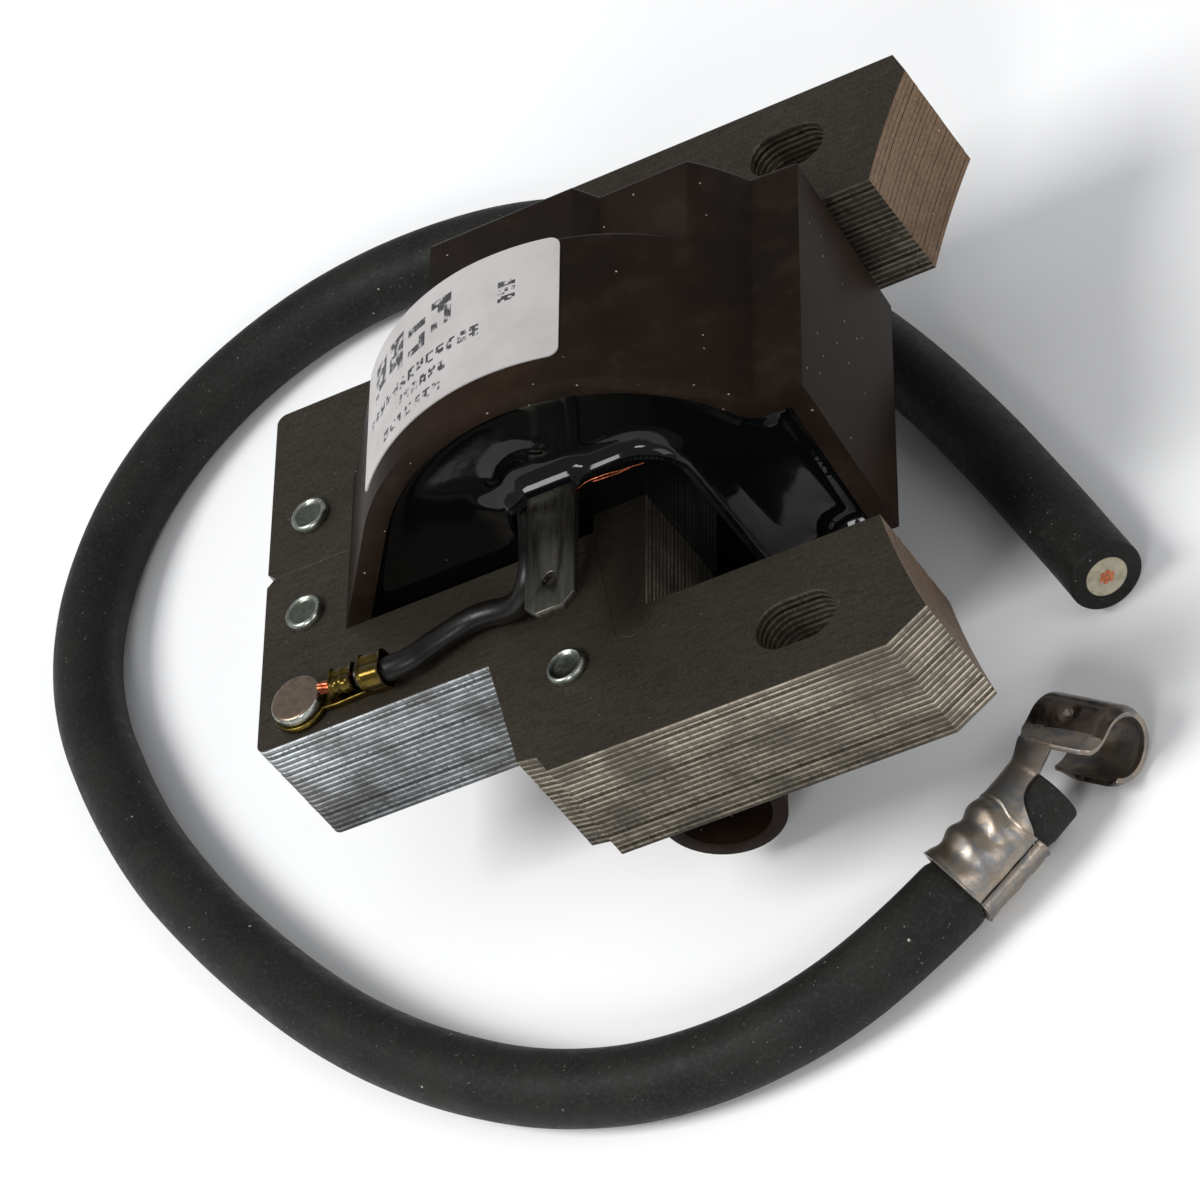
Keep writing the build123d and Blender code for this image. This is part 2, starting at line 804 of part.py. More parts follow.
def on_body(angle, radius):
    """A point on a circle round the axis of the round front."""
    return body_x + radius * cos(angle), body_z + radius * sin(angle)


label_mid = (label_a0 + label_a1) / 2
label_outer = body_r + label_t
with BuildPart() as label:
    with BuildSketch(across(label_y1)):
        with BuildLine():
            ThreePointArc(
                on_body(label_a0, body_r), on_body(label_mid, body_r), on_body(label_a1, body_r)
            )
            Line(on_body(label_a1, body_r), on_body(label_a1, label_outer))
            ThreePointArc(
                on_body(label_a1, label_outer),
                on_body(label_mid, label_outer),
                on_body(label_a0, label_outer),
            )
            Line(on_body(label_a0, label_outer), on_body(label_a0, body_r))
        make_face()
    extrude(amount=label_y1 - label_y0)
    fillet(label.edges().group_by(SortBy.LENGTH)[0], label_corner)
label.part.label = "label"

# ------------------------------------------------------------ high-tension lead
corners = [Vector(*point) for point in lead_points]
lead_radii = []
for before, here, after in zip(corners, corners[1:], corners[2:]):
    turn = radians((here - before).get_angle(after - here))
    run = min((here - before).length, (after - here).length)
    lead_radii.append(corner_share * run / tan(turn / 2))
print("lead radii", [round(radius, 1) for radius in lead_radii])


def lead_tube(outer, inner):
    """One layer of the lead, swept along its route."""
    with BuildPart() as tube:
        with BuildLine():
            route = FilletPolyline(*corners, radius=lead_radii)
        with BuildSketch(Plane(origin=route @ 0, z_dir=route % 0)):
            Circle(outer)
            if inner:
                Circle(inner, mode=Mode.SUBTRACT)
        sweep(path=route)
    section = pi * (outer**2 - inner**2)
    print("lead layer", tube.part.volume, section * route.length, route.length)
    return tube.part


lead_jacket = lead_tube(lead_r, insulation_r + lead_gap)
lead_jacket.label = "lead_jacket"
lead_insulation = lead_tube(insulation_r, conductor_r + lead_gap)
lead_insulation.label = "lead_insulation"
lead_conductor = lead_tube(conductor_r, 0)
lead_conductor.label = "lead_conductor"

# --------------------------------------------------------------- plug terminal
along = (corners[0] - corners[1]).normalized()
aside = along.cross(Vector(0, 0, 1))
barrel_end = corners[0] - along * barrel_start
barrel_plane = Plane(origin=barrel_end - along * barrel_length, x_dir=aside, z_dir=along)
clip_axis = Vector(cos(radians(clip_turn)), sin(radians(clip_turn)), 0)
clip_out = clip_axis.cross(Vector(0, 0, -1))
clip_middle = Vector(clip_x, clip_y, land_z + clip_r)
clip_start = clip_middle - clip_axis * (clip_length / 2)
lip = radians(clip_lip_high)
low_lip = radians(clip_lip_low)
neck_up = aside * cos(radians(neck_angle)) + Vector(0, 0, 1) * sin(radians(neck_angle))
neck_root = barrel_end + neck_up * (lead_r + neck_lift)
neck_bend = neck_root + along * neck_straight
neck_tip = (
    clip_start
    + clip_axis * neck_inset
    + (clip_out * cos(lip) + Vector(0, 0, 1) * sin(lip)) * (clip_r - clip_wall / 2)
)
neck_side = along.cross(neck_up)
neck_turn = (neck_tip - neck_bend).normalized()
dimple_at = clip_start + clip_axis * dimple_along + Vector(0, 0, 1) * (clip_r + dimple_rise)

with BuildPart() as plug_terminal:
    with BuildSketch(barrel_plane):
        Circle(lead_r + barrel_wall)
        Circle(lead_r, mode=Mode.SUBTRACT)
    extrude(amount=barrel_length)
    for step in range(ridge_count):
        place = (step + 0.5) * barrel_length / ridge_count
        with BuildSketch(barrel_plane.offset(place - ridge_w / 2)):
            Circle(lead_r + barrel_wall + ridge)
            Circle(lead_r, mode=Mode.SUBTRACT)
        extrude(amount=ridge_w)
    with BuildSketch(barrel_plane):
        with Locations(Location((0, 0), barrel_seam_angle)):
            Rectangle(2 * lead_r, barrel_seam, align=(Align.MIN, Align.CENTER))
    extrude(amount=barrel_length, mode=Mode.SUBTRACT)
    with BuildSketch(Plane(origin=clip_start, x_dir=clip_out, z_dir=clip_axis)):
        Circle(clip_r)
        Circle(clip_r - clip_wall, mode=Mode.SUBTRACT)
        with BuildLine():
            Polyline(
                (0, 0),
                (mouth * cos(lip), mouth * sin(lip)),
                (-mouth, 0),
                (mouth * cos(low_lip), mouth * sin(low_lip)),
                (0, 0),
            )
        make_face(mode=Mode.SUBTRACT)
    extrude(amount=clip_length)
    with BuildSketch(Plane(origin=neck_root - along * neck_lap, x_dir=neck_side, z_dir=along)):
        Rectangle(neck_w, neck_t)
    extrude(amount=neck_lap + neck_straight)
    with BuildSketch(Plane(origin=neck_bend, x_dir=neck_side, z_dir=neck_turn)):
        Rectangle(neck_w, neck_t)
    extrude(amount=(neck_tip - neck_bend).length)
    with Locations(dimple_at):
        Sphere(dimple_r, mode=Mode.SUBTRACT)
plug_terminal.part.label = "plug_terminal"
print("terminal", plug_terminal.part.volume, len(plug_terminal.part.solids()))

# ----------------------------------------------------------------- write files
export_step(lower_core.part, "parts/lower_core.step")
export_step(upper_core.part, "parts/upper_core.step")
export_step(center_core.part, "parts/center_core.step")
export_step(lower_yoke_rivet, "parts/lower_yoke_rivet.step")
export_step(upper_yoke_rivet, "parts/upper_yoke_rivet.step")
export_step(lower_arm_rivet, "parts/lower_arm_rivet.step")
export_step(upper_arm_rivet, "parts/upper_arm_rivet.step")
export_step(ground_rivet.part, "parts/ground_rivet.step")
export_step(ground_terminal.part, "parts/ground_terminal.step")
export_step(ground_wire_jacket.part, "parts/ground_wire_jacket.step")
export_step(ground_wire_strands.part, "parts/ground_wire_strands.step")
export_step(coil_housing.part, "parts/coil_housing.step")
export_step(potting.part, "parts/potting.step")
export_step(primary_bobbin.part, "parts/primary_bobbin.step")
export_step(primary_winding.part, "parts/primary_winding.step")
export_step(secondary_bobbin.part, "parts/secondary_bobbin.step")
export_step(secondary_winding.part, "parts/secondary_winding.step")
export_step(tower_contact.part, "parts/tower_contact.step")
export_step(secondary_tap.part, "parts/secondary_tap.step")
export_step(module_board.part, "parts/module_board.step")
export_step(power_transistor.part, "parts/power_transistor.step")
export_step(trigger_transistor.part, "parts/trigger_transistor.step")
export_step(bias_resistor.part, "parts/bias_resistor.step")
export_step(stop_blade.part, "parts/stop_blade.step")
export_step(label.part, "parts/label.step")
export_step(lead_jacket, "parts/lead_jacket.step")
export_step(lead_insulation, "parts/lead_insulation.step")
export_step(lead_conductor, "parts/lead_conductor.step")
export_step(plug_terminal.part, "parts/plug_terminal.step")
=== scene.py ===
"""Looks for a small-engine ignition coil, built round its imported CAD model. Lengths are in metres."""

import random
from collections import Counter
from contextlib import contextmanager
from itertools import permutations
from math import asin, atan2, ceil, cos, dist, exp, hypot, pi, radians, sin, sqrt

import bmesh
import bpy
from mathutils import Matrix, Vector, geometry, kdtree, noise


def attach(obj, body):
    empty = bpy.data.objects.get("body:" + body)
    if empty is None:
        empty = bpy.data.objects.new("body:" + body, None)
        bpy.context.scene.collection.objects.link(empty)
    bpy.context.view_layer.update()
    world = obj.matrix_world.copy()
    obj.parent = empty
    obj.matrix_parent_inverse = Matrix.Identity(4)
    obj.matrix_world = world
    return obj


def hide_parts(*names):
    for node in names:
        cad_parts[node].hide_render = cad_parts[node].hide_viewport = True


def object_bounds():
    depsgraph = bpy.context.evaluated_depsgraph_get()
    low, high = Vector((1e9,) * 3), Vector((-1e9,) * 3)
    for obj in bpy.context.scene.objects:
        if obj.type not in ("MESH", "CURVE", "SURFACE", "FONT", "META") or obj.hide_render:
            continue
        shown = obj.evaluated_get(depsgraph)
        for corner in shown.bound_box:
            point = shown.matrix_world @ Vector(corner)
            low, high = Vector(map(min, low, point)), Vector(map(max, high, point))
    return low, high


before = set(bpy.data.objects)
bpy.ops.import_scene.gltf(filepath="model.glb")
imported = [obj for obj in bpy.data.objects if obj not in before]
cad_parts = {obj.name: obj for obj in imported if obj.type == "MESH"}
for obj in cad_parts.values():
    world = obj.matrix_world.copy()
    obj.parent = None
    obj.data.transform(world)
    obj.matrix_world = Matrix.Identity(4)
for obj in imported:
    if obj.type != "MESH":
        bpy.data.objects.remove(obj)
cad_low, cad_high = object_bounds()
MM = 0.001
UP = Vector((0, 0, 1))
random.seed(28)

# ------------------------------------------------------------------ camera
CAMERA_AT = Vector((0.1690, -0.3494, 0.3300))
CAMERA_RIGHT = Vector((0.864, 0.008, -0.504))
CAMERA_BACK = Vector((0.379, -0.669, 0.640))
LENS = 173.7
SENSOR = 36.0


def link(obj):
    bpy.context.scene.collection.objects.link(obj)
    return obj


def turned_to(back, right):
    """Rotation whose Z is back and whose X is as near right as it can be."""
    z = back.normalized()
    x = (right - z * right.dot(z)).normalized()
    return Matrix((x, z.cross(x), z)).transposed().to_4x4()


def make_camera():
    data = bpy.data.cameras.new("camera")
    data.lens = LENS
    data.sensor_width = SENSOR
    data.clip_start = 0.01
    camera = link(bpy.data.objects.new("camera", data))
    camera.matrix_world = Matrix.Translation(CAMERA_AT) @ turned_to(CAMERA_BACK, CAMERA_RIGHT)
    bpy.context.scene.camera = camera


make_camera()


# ------------------------------------------------------------------ mesh tools
def mesh_from(name, vertices, faces):
    mesh = bpy.data.meshes.new(name)
    mesh.from_pydata([tuple(v) for v in vertices], [], faces)
    mesh.validate()
    return mesh


@contextmanager
def edited(mesh):
    """The mesh's editable copy, written back to it at the end of the block."""
    work = bmesh.new()
    work.from_mesh(mesh)
    yield work
    work.to_mesh(mesh)
    work.free()


def tidy(mesh, sharp=35):
    """Consistent outward normals, smooth shading and sharp edges past an angle."""
    with edited(mesh) as work:
        bmesh.ops.recalc_face_normals(work, faces=work.faces)
    mesh.shade_smooth()
    mesh.set_sharp_from_angle(angle=radians(sharp))
    return mesh


def skin(name, rows, ring=True):
    """A mesh through rows of points; ring closes each row and caps both ends."""
    count = len(rows[0])
    faces = []
    for i in range(len(rows) - 1):
        for j in range(count if ring else count - 1):
            k = (j + 1) % count
            a, b = i * count, (i + 1) * count
            faces.append((a + j, a + k, b + k, b + j))
    if ring:
        last = (len(rows) - 1) * count
        faces += [tuple(range(count)), tuple(range(last, last + count))]
    return mesh_from(name, [p for row in rows for p in row], faces)


def joined(name, meshes):
    """One mesh from several; each keeps its own material numbers."""
    result = bpy.data.meshes.new(name)
    with edited(result) as work:
        for mesh in meshes:
            work.from_mesh(mesh)
    return result


def spoke(angle, across=Vector((1, 0, 0)), up=Vector((0, 1, 0))):
    """The way out at an angle from across towards up."""
    return across * cos(angle) + up * sin(angle)


def lathe(name, profile, centre, sides, wobble, seed):
    """Turns a profile of (radius, height) in millimetres about a line along Z through centre."""
    rows = []
    for radius, height in profile:
        radius, height = max(radius, 0.004) * MM, height * MM
        row = []
        for side in range(sides):
            way = spoke(2 * pi * side / sides)
            shift = wobble * noise.noise(way * 1.3 + Vector((seed, height * 900, 0)))
            row.append(centre + way * (radius + shift) + Vector((0, 0, height + shift)))
        rows.append(row)
    return tidy(skin(name, rows))


def meshed(curve):
    holder = bpy.data.objects.new("holder", curve)
    mesh = bpy.data.meshes.new_from_object(holder)
    bpy.data.objects.remove(holder)
    return mesh


def line_of(points, per_run):
    """Points along the smooth line that a route's control points give."""
    curve = bpy.data.curves.new("route", "CURVE")
    curve.dimensions = "3D"
    curve.resolution_u = per_run
    spline = curve.splines.new("NURBS")
    spline.points.add(len(points) - 1)
    for point, place in zip(spline.points, points):
        point.co = (*place, 1)
    spline.order_u = 3
    spline.use_endpoint_u = True
    return [v.co.copy() for v in meshed(curve).vertices]


def frames_along(line, side):
    """(place, across, up, along, distance) at each point, turning no more than the line does."""
    result = []
    across = side
    distance = 0.0
    for before, place, after in zip(line[:1] + line, line, line[1:] + line[-1:]):
        along = (after - before).normalized()
        across = (across - along * across.dot(along)).normalized()
        distance += (place - before).length
        result.append((place, across, along.cross(across), along, distance))
    return result


def tube(name, frames, radius, sides=32):
    """A round tube; radius is a length or a function of distance and angle."""
    rows = []
    for place, across, up, _, distance in frames:
        row = []
        for side in range(sides):
            angle = 2 * pi * side / sides
            size = radius(distance, angle) if callable(radius) else radius
            row.append(place + spoke(angle, across, up) * size)
        rows.append(row)
    return tidy(skin(name, rows))


def piece(name, mesh, looks, slot, *nodes):
    """A visible piece that rides with the coil and stands for the named CAD nodes."""
    obj = link(bpy.data.objects.new(name, mesh))
    for look in looks:
        mesh.materials.append(look)
    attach(obj, "root")
    if nodes:
        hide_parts(*nodes)
    return obj


def outlines(node, axis, level):
    """Closed outlines of a CAD node's flat face at a level along an axis, largest first."""
    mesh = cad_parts[node].data
    others = [i for i in range(3) if i != axis]
    near = 2e-6
    edges = Counter()
    places = {}
    for face in mesh.polygons:
        points = [mesh.vertices[i].co for i in face.vertices]
        if any(abs(p[axis] - level) > near for p in points):
            continue
        keys = [tuple(round(p[i] / near) for i in others) for p in points]
        places.update((key, tuple(p[i] for i in others)) for key, p in zip(keys, points))
        edges.update(frozenset(pair) for pair in zip(keys, keys[1:] + keys[:1]))
    beside = {}
    for edge, uses in edges.items():
        if uses == 1 and len(edge) == 2:
            for a, b in permutations(edge):
                beside.setdefault(a, []).append(b)
    loops = []
    while beside:
        start = next(iter(beside))
        loop = [start]
        here = start
        while beside.get(here):
            there = beside[here].pop()
            beside[there].remove(here)
            if not beside[here]:
                del beside[here]
            here = there
            if here == start:
                break
            loop.append(here)
        beside = {key: value for key, value in beside.items() if value}
        loops.append([places[key] for key in loop])
    return sorted(loops, key=lambda loop: -abs(area_of(loop)))


def area_of(loop):
    return sum(a[0] * b[1] - b[0] * a[1] for a, b in zip(loop, loop[1:] + loop[:1])) / 2


def plate(loops, thickness, edge, steps):
    """A flat sheet centred on Z = 0 with rounded edges; the loops after the first are holes."""
    curve = bpy.data.curves.new("plate", "CURVE")
    curve.dimensions = "2D"
    curve.fill_mode = "BOTH"
    curve.extrude = thickness / 2 - edge
    curve.bevel_depth = edge
    curve.bevel_resolution = steps
    curve.offset = -edge
    for number, loop in enumerate(loops):
        turns_left = area_of(loop) > 0
        points = loop if turns_left == (number == 0) else loop[::-1]
        spline = curve.splines.new("POLY")
        spline.points.add(len(points) - 1)
        for point, (x, y) in zip(spline.points, points):
            point.co = (x, y, 0, 1)
        spline.use_cyclic_u = True
    return meshed(curve)


# ------------------------------------------------------------------ material tools
class Look:
    """A Principled material whose patterns are placed in millimetres on the object."""

    SOCKETS = {"metallic": "Metallic", "ior": "IOR", "specular": "Specular IOR Level"}

    def __init__(self, name, **settings):
        self.material = bpy.data.materials.new(name)
        self.material.use_nodes = True
        self.tree = self.material.node_tree
        self.shader = self.tree.nodes["Principled BSDF"]
        self.place = self.node("ShaderNodeTexCoord").outputs["Object"]
        self.place = self.stretched((1 / MM, 1 / MM, 1 / MM))
        for setting, value in settings.items():
            self.shader.inputs[self.SOCKETS[setting]].default_value = value

    def node(self, kind, inputs=None, **settings):
        made = self.tree.nodes.new(kind)
        for name, value in settings.items():
            setattr(made, name, value)
        for name, value in (inputs or {}).items():
            self.feed(made.inputs[name], value)
        return made

    def feed(self, socket, value):
        if isinstance(value, bpy.types.NodeSocket):
            self.tree.links.new(value, socket)
        else:
            socket.default_value = value

    def stretched(self, factors):
        made = self.node("ShaderNodeVectorMath", operation="MULTIPLY")
        self.feed(made.inputs[0], self.place)
        made.inputs[1].default_value = factors
        return made.outputs[0]

    def noise(self, size, detail, rough, squeeze=None, twist=0.0):
        """Soft noise from 0 to 1 with features about size millimetres across."""
        place = self.stretched(squeeze) if squeeze else self.place
        inputs = {"Vector": place, "Scale": 1 / size, "Detail": detail, "Roughness": rough}
        return self.node("ShaderNodeTexNoise", {**inputs, "Distortion": twist}).outputs["Fac"]

    def span(self, value, low, high, to_low=0.0, to_high=1.0):
        """Value from low to high spread over to_low to to_high, and held there."""
        names = ("Value", "From Min", "From Max", "To Min", "To Max")
        inputs = dict(zip(names, (value, low, high, to_low, to_high)))
        return self.node("ShaderNodeMapRange", inputs).outputs["Result"]

    def math(self, operation, *values):
        made = self.node("ShaderNodeMath", operation=operation)
        for socket, value in zip(made.inputs, values):
            self.feed(socket, value)
        return made.outputs[0]

    def times(self, a, b):
        return self.math("MULTIPLY", a, b)

    def plus(self, a, b):
        return self.math("ADD", a, b)

    def mix(self, share, a, b):
        """Colour from a to b."""
        made = self.node("ShaderNodeMix", {"Factor": share}, data_type="RGBA")
        for name, value in (("A", a), ("B", b)):
            value = value if isinstance(value, bpy.types.NodeSocket) else (*value, 1)
            self.feed(next(s for s in made.inputs if s.name == name and s.type == "RGBA"), value)
        return next(s for s in made.outputs if s.type == "RGBA")

    def blend(self, pattern, low, high, a, b, most=1.0):
        """Colour a where the pattern is low, turning into b by the share most where it is high."""
        return self.mix(self.span(pattern, low, high, 0, most), a, b)

    def specks(self, spacing, size, share):
        """Scattered round specks: 1 on a speck and 0 elsewhere."""
        inputs = {"Vector": self.place, "Scale": 1 / spacing}
        cells = self.node("ShaderNodeTexVoronoi", inputs, feature="F1")
        near = self.span(cells.outputs["Distance"], size / spacing, size / spacing * 0.6)
        inputs = {"Vector": cells.outputs["Position"]}
        picked = self.node("ShaderNodeTexWhiteNoise", inputs, noise_dimensions="3D")
        return self.times(near, self.math("LESS_THAN", picked.outputs["Value"], share))

    def finish(self, color, roughness, *reliefs):
        """The colour, the roughness as a span, and reliefs as patterns with depths in millimetres."""
        self.feed(self.shader.inputs["Base Color"], color)
        self.feed(self.shader.inputs["Roughness"], self.span(*roughness))
        under = {}
        for height, depth in reliefs:
            inputs = {"Strength": 1.0, "Distance": depth * MM, "Height": height, **under}
            under = {"Normal": self.node("ShaderNodeBump", inputs).outputs["Normal"]}
        for name, value in under.items():
            self.feed(self.shader.inputs[name], value)
        return self.material


def look_sheet_face():
    """Steel sheet with a dark brown skin, finely speckled and faintly streaked."""
    look = Look("lamination_face", metallic=0.7)
    patches = look.noise(9, 3, 0.6)
    speckle = look.noise(0.20, 4, 0.8)
    grain = look.noise(0.6, 3, 0.6, (0.3, 1.6, 1))
    tone = look.plus(look.times(speckle, 0.75), look.times(grain, 0.25))
    dark = look.blend(patches, 0.35, 0.65, (0.0185, 0.0148, 0.0102), (0.0235, 0.0190, 0.0135))
    light = look.blend(patches, 0.35, 0.65, (0.067, 0.056, 0.041), (0.080, 0.067, 0.049))
    color = look.blend(tone, 0.36, 0.68, dark, light)
    color = look.mix(look.specks(0.9, 0.07, 0.14), color, (0.26, 0.24, 0.21))
    return look.finish(color, (tone, 0.35, 0.7, 0.60, 0.42), (speckle, 0.015))


def look_sheet_edge():
    """Sheared edges: each sheet has a painted highlight along its burr and is darker where it tore,
    with its own tone.
    """
    look = Look("lamination_edge", metallic=0.95)
    place = look.node("ShaderNodeSeparateXYZ", {"Vector": look.place}).outputs
    number = look.math("DIVIDE", place["Z"], SHEET_PITCH / MM)
    inputs = {"W": look.math("FLOOR", number)}
    sheet = look.node("ShaderNodeTexWhiteNoise", inputs, noise_dimensions="1D").outputs["Value"]
    through = look.math("FRACT", number)
    streak = look.noise(0.22, 3, 0.7, (1, 1, 0.18))
    chatter = look.noise(0.6, 3, 0.75, (1, 1, 0.5))
    # Painted highlight: a bright band across each sheet's thickness, broken up by the chatter noise.
    burr_highlight = look.times(look.span(through, 0.52, 0.66), look.span(through, 0.95, 0.84))
    burr_highlight = look.times(burr_highlight, look.span(chatter, 0.34, 0.62, 0.12, 0.95))
    tone = look.plus(look.times(streak, 0.35), look.times(sheet, 0.15))
    tone = look.plus(tone, burr_highlight)
    cool = look.blend(tone, 0.12, 0.8, (0.070, 0.075, 0.077), (0.86, 0.91, 0.94))
    warm = look.blend(tone, 0.12, 0.8, (0.040, 0.034, 0.023), (0.60, 0.53, 0.42))
    color = look.blend(place["X"], *YOKE_EDGE_ENDS, cool, warm)
    blotch = look.span(look.noise(5.5, 3, 0.6), 0.38, 0.56, 0.62, 0)
    color = look.mix(blotch, color, (0.085, 0.078, 0.066))
    color = look.blend(look.noise(14, 2, 0.5), 0.5, 0.8, color, (0.12, 0.10, 0.08), 0.6)
    color = look.mix(look.specks(1.6, 0.16, 0.10), color, (0.08, 0.05, 0.035))
    return look.finish(color, (streak, 0.3, 0.7, 0.30, 0.5), (streak, 0.03))


def look_pole_face():
    look = Look("pole_face", metallic=0.85)
    grind = look.noise(0.16, 4, 0.75, (1, 0.14, 1))
    color = look.blend(grind, 0.30, 0.72, (0.105, 0.064, 0.038), (0.255, 0.165, 0.098))
    color = look.blend(look.noise(3.5, 3, 0.6), 0.5, 0.75, color, (0.125, 0.074, 0.042))
    # Bright copper-coloured specks are painted glints.
    color = look.mix(look.specks(0.8, 0.10, 0.14), color, (0.75, 0.48, 0.20))
    return look.finish(color, (grind, 0.3, 0.7, 0.52, 0.36), (grind, 0.012))


def look_zinc(name, tint, dull):
    look = Look(name, metallic=1.0)
    cloud = look.noise(0.9, 4, 0.65)
    mark = look.noise(0.25, 3, 0.7, (1, 0.25, 1))
    color = look.blend(cloud, 0.42, 0.7, tint, dull)
    return look.finish(color, (cloud, 0.3, 0.7, 0.2, 0.42), (mark, 0.012), (cloud, 0.03))


def look_shell():
    look = Look("shell", specular=0.06)
    cloud = look.noise(12, 3, 0.55)
    grain = look.noise(0.12, 2, 0.6)
    draw = look.noise(0.8, 3, 0.6, (1, 0.05, 1))
    color = look.blend(cloud, 0.35, 0.7, (0.0085, 0.0058, 0.0041), (0.0180, 0.0100, 0.0063))
    color = look.blend(look.noise(3, 5, 0.7), 0.52, 0.85, color, (0.036, 0.026, 0.019), 0.4)
    color = look.mix(look.specks(1.1, 0.12, 0.20), color, (0.30, 0.27, 0.23))
    roughness = (look.plus(cloud, grain), 0.7, 1.3, 0.34, 0.50)
    return look.finish(color, roughness, (grain, 0.010), (draw, 0.020))


def look_epoxy():
    look = Look("epoxy", ior=1.48, specular=0.30)
    wave = look.noise(5, 2, 0.5)
    fine = look.noise(0.7, 2, 0.5)
    color = look.mix(look.specks(1.9, 0.08, 0.10), (0.0022, 0.0024, 0.0026), (0.16, 0.16, 0.15))
    roughness = (look.noise(2.2, 4, 0.6), 0.4, 0.8, 0.045, 0.13)
    return look.finish(color, roughness, (wave, 0.015), (fine, 0.002))


def look_brass():
    look = Look("brass", metallic=1.0)
    cloud = look.noise(0.8, 4, 0.6)
    color = look.blend(cloud, 0.35, 0.7, (0.130, 0.092, 0.021), (0.060, 0.042, 0.010))
    color = look.blend(look.noise(2.2, 3, 0.6), 0.55, 0.8, color, (0.040, 0.027, 0.009))
    return look.finish(color, (cloud, 0.3, 0.7, 0.18, 0.36), (cloud, 0.02))


def look_copper(name, bright, dark):
    look = Look(name, metallic=1.0)
    cloud = look.noise(0.5, 3, 0.6)
    color = look.blend(cloud, 0.35, 0.7, bright, dark)
    return look.finish(color, (cloud, 0.3, 0.7, 0.18, 0.36), (cloud, 0.01))


def look_winding(name, wire, color):
    """Enamelled wire wound side by side along the coil's axis."""
    look = Look(name, metallic=0.9)
    inputs = {"Vector": look.place, "Scale": pi / 10 / wire, "Distortion": 0.4}
    wave = look.node("ShaderNodeTexWave", inputs, wave_type="BANDS", bands_direction="Y").outputs["Fac"]
    cloud = look.noise(3, 3, 0.6)
    color = look.blend(cloud, 0.35, 0.7, color, tuple(part * 0.55 for part in color))
    return look.finish(color, (cloud, 0.3, 0.7, 0.25, 0.4), (wave, wire / 2))


def look_vinyl():
    look = Look("wire_jacket", specular=0.22)
    cloud = look.noise(1.6, 3, 0.6)
    nick = look.noise(0.5, 3, 0.7)
    color = look.mix(cloud, (0.0035, 0.003, 0.0028), (0.008, 0.007, 0.006))
    color = look.mix(look.specks(1.4, 0.09, 0.12), color, (0.18, 0.16, 0.14))
    return look.finish(color, (cloud, 0.3, 0.7, 0.24, 0.42), (nick, 0.02))


def look_rubber():
    """Matt rubber that has gathered lint and crumbs where it is scuffed."""
    look = Look("lead_rubber", specular=0.14)
    grain = look.noise(0.10, 3, 0.7)
    scuff = look.noise(1.7, 5, 0.75, twist=0.6)
    gathered = look.span(scuff, 0.42, 0.62, 0.05, 0.9)
    lint = look.times(look.specks(0.50, 0.075, 0.30), gathered)
    crumbs = look.times(look.specks(1.8, 0.15, 0.30), look.span(scuff, 0.44, 0.55))
    cloud = look.noise(7, 4, 0.6)
    color = look.blend(cloud, 0.3, 0.75, (0.0080, 0.0075, 0.0070), (0.0155, 0.0146, 0.0132))
    color = look.blend(look.noise(0.34, 3, 0.7), 0.48, 0.75, color, (0.027, 0.029, 0.027), 0.65)
    color = look.blend(scuff, 0.56, 0.80, color, (0.034, 0.036, 0.033), 0.6)
    color = look.mix(crumbs, look.mix(lint, color, (0.24, 0.235, 0.22)), (0.38, 0.37, 0.34))
    return look.finish(color, (scuff, 0.35, 0.75, 0.46, 0.72), (grain, 0.015), (scuff, 0.03))


def look_insulation():
    look = Look("inner_insulation", specular=0.4)
    cut = look.noise(0.3, 3, 0.6, (1, 0.2, 1))
    color = look.blend(look.noise(0.8, 4, 0.6), 0.35, 0.75, (0.42, 0.385, 0.28), (0.26, 0.23, 0.165))
    return look.finish(color, (cut, 0.3, 0.7, 0.45, 0.65), (cut, 0.04))


def look_tinned():
    look = Look("tinned_steel", metallic=0.9)
    smear = look.noise(1.6, 4, 0.6, twist=0.8)
    fine = look.noise(0.2, 3, 0.6, (0.3, 1, 1))
    color = look.blend(smear, 0.38, 0.66, (0.330, 0.272, 0.212), (0.165, 0.172, 0.180))
    color = look.blend(look.noise(2.6, 2, 0.5), 0.56, 0.8, color, (0.27, 0.205, 0.145))
    return look.finish(color, (smear, 0.3, 0.7, 0.30, 0.44), (fine, 0.006), (smear, 0.05))


def look_dark_steel():
    """The clip's outside: the same steel, heat-darkened and glossy."""
    look = Look("darkened_steel", metallic=0.9)
    smear = look.noise(2.4, 4, 0.6, twist=0.8)
    fine = look.noise(0.3, 3, 0.6)
    color = look.blend(smear, 0.38, 0.68, (0.046, 0.035, 0.028), (0.165, 0.13, 0.105))
    return look.finish(color, (smear, 0.3, 0.7, 0.16, 0.34), (fine, 0.006), (smear, 0.04))


def look_tab():
    look = Look("tab", metallic=0.95)
    streak = look.noise(0.35, 4, 0.65, (1, 0.05, 1))
    color = look.blend(streak, 0.35, 0.68, (0.074, 0.071, 0.060), (0.102, 0.098, 0.082))
    color = look.blend(look.noise(2.4, 3, 0.6), 0.5, 0.8, color, (0.060, 0.050, 0.036))
    return look.finish(color, (streak, 0.3, 0.7, 0.22, 0.4), (streak, 0.01))


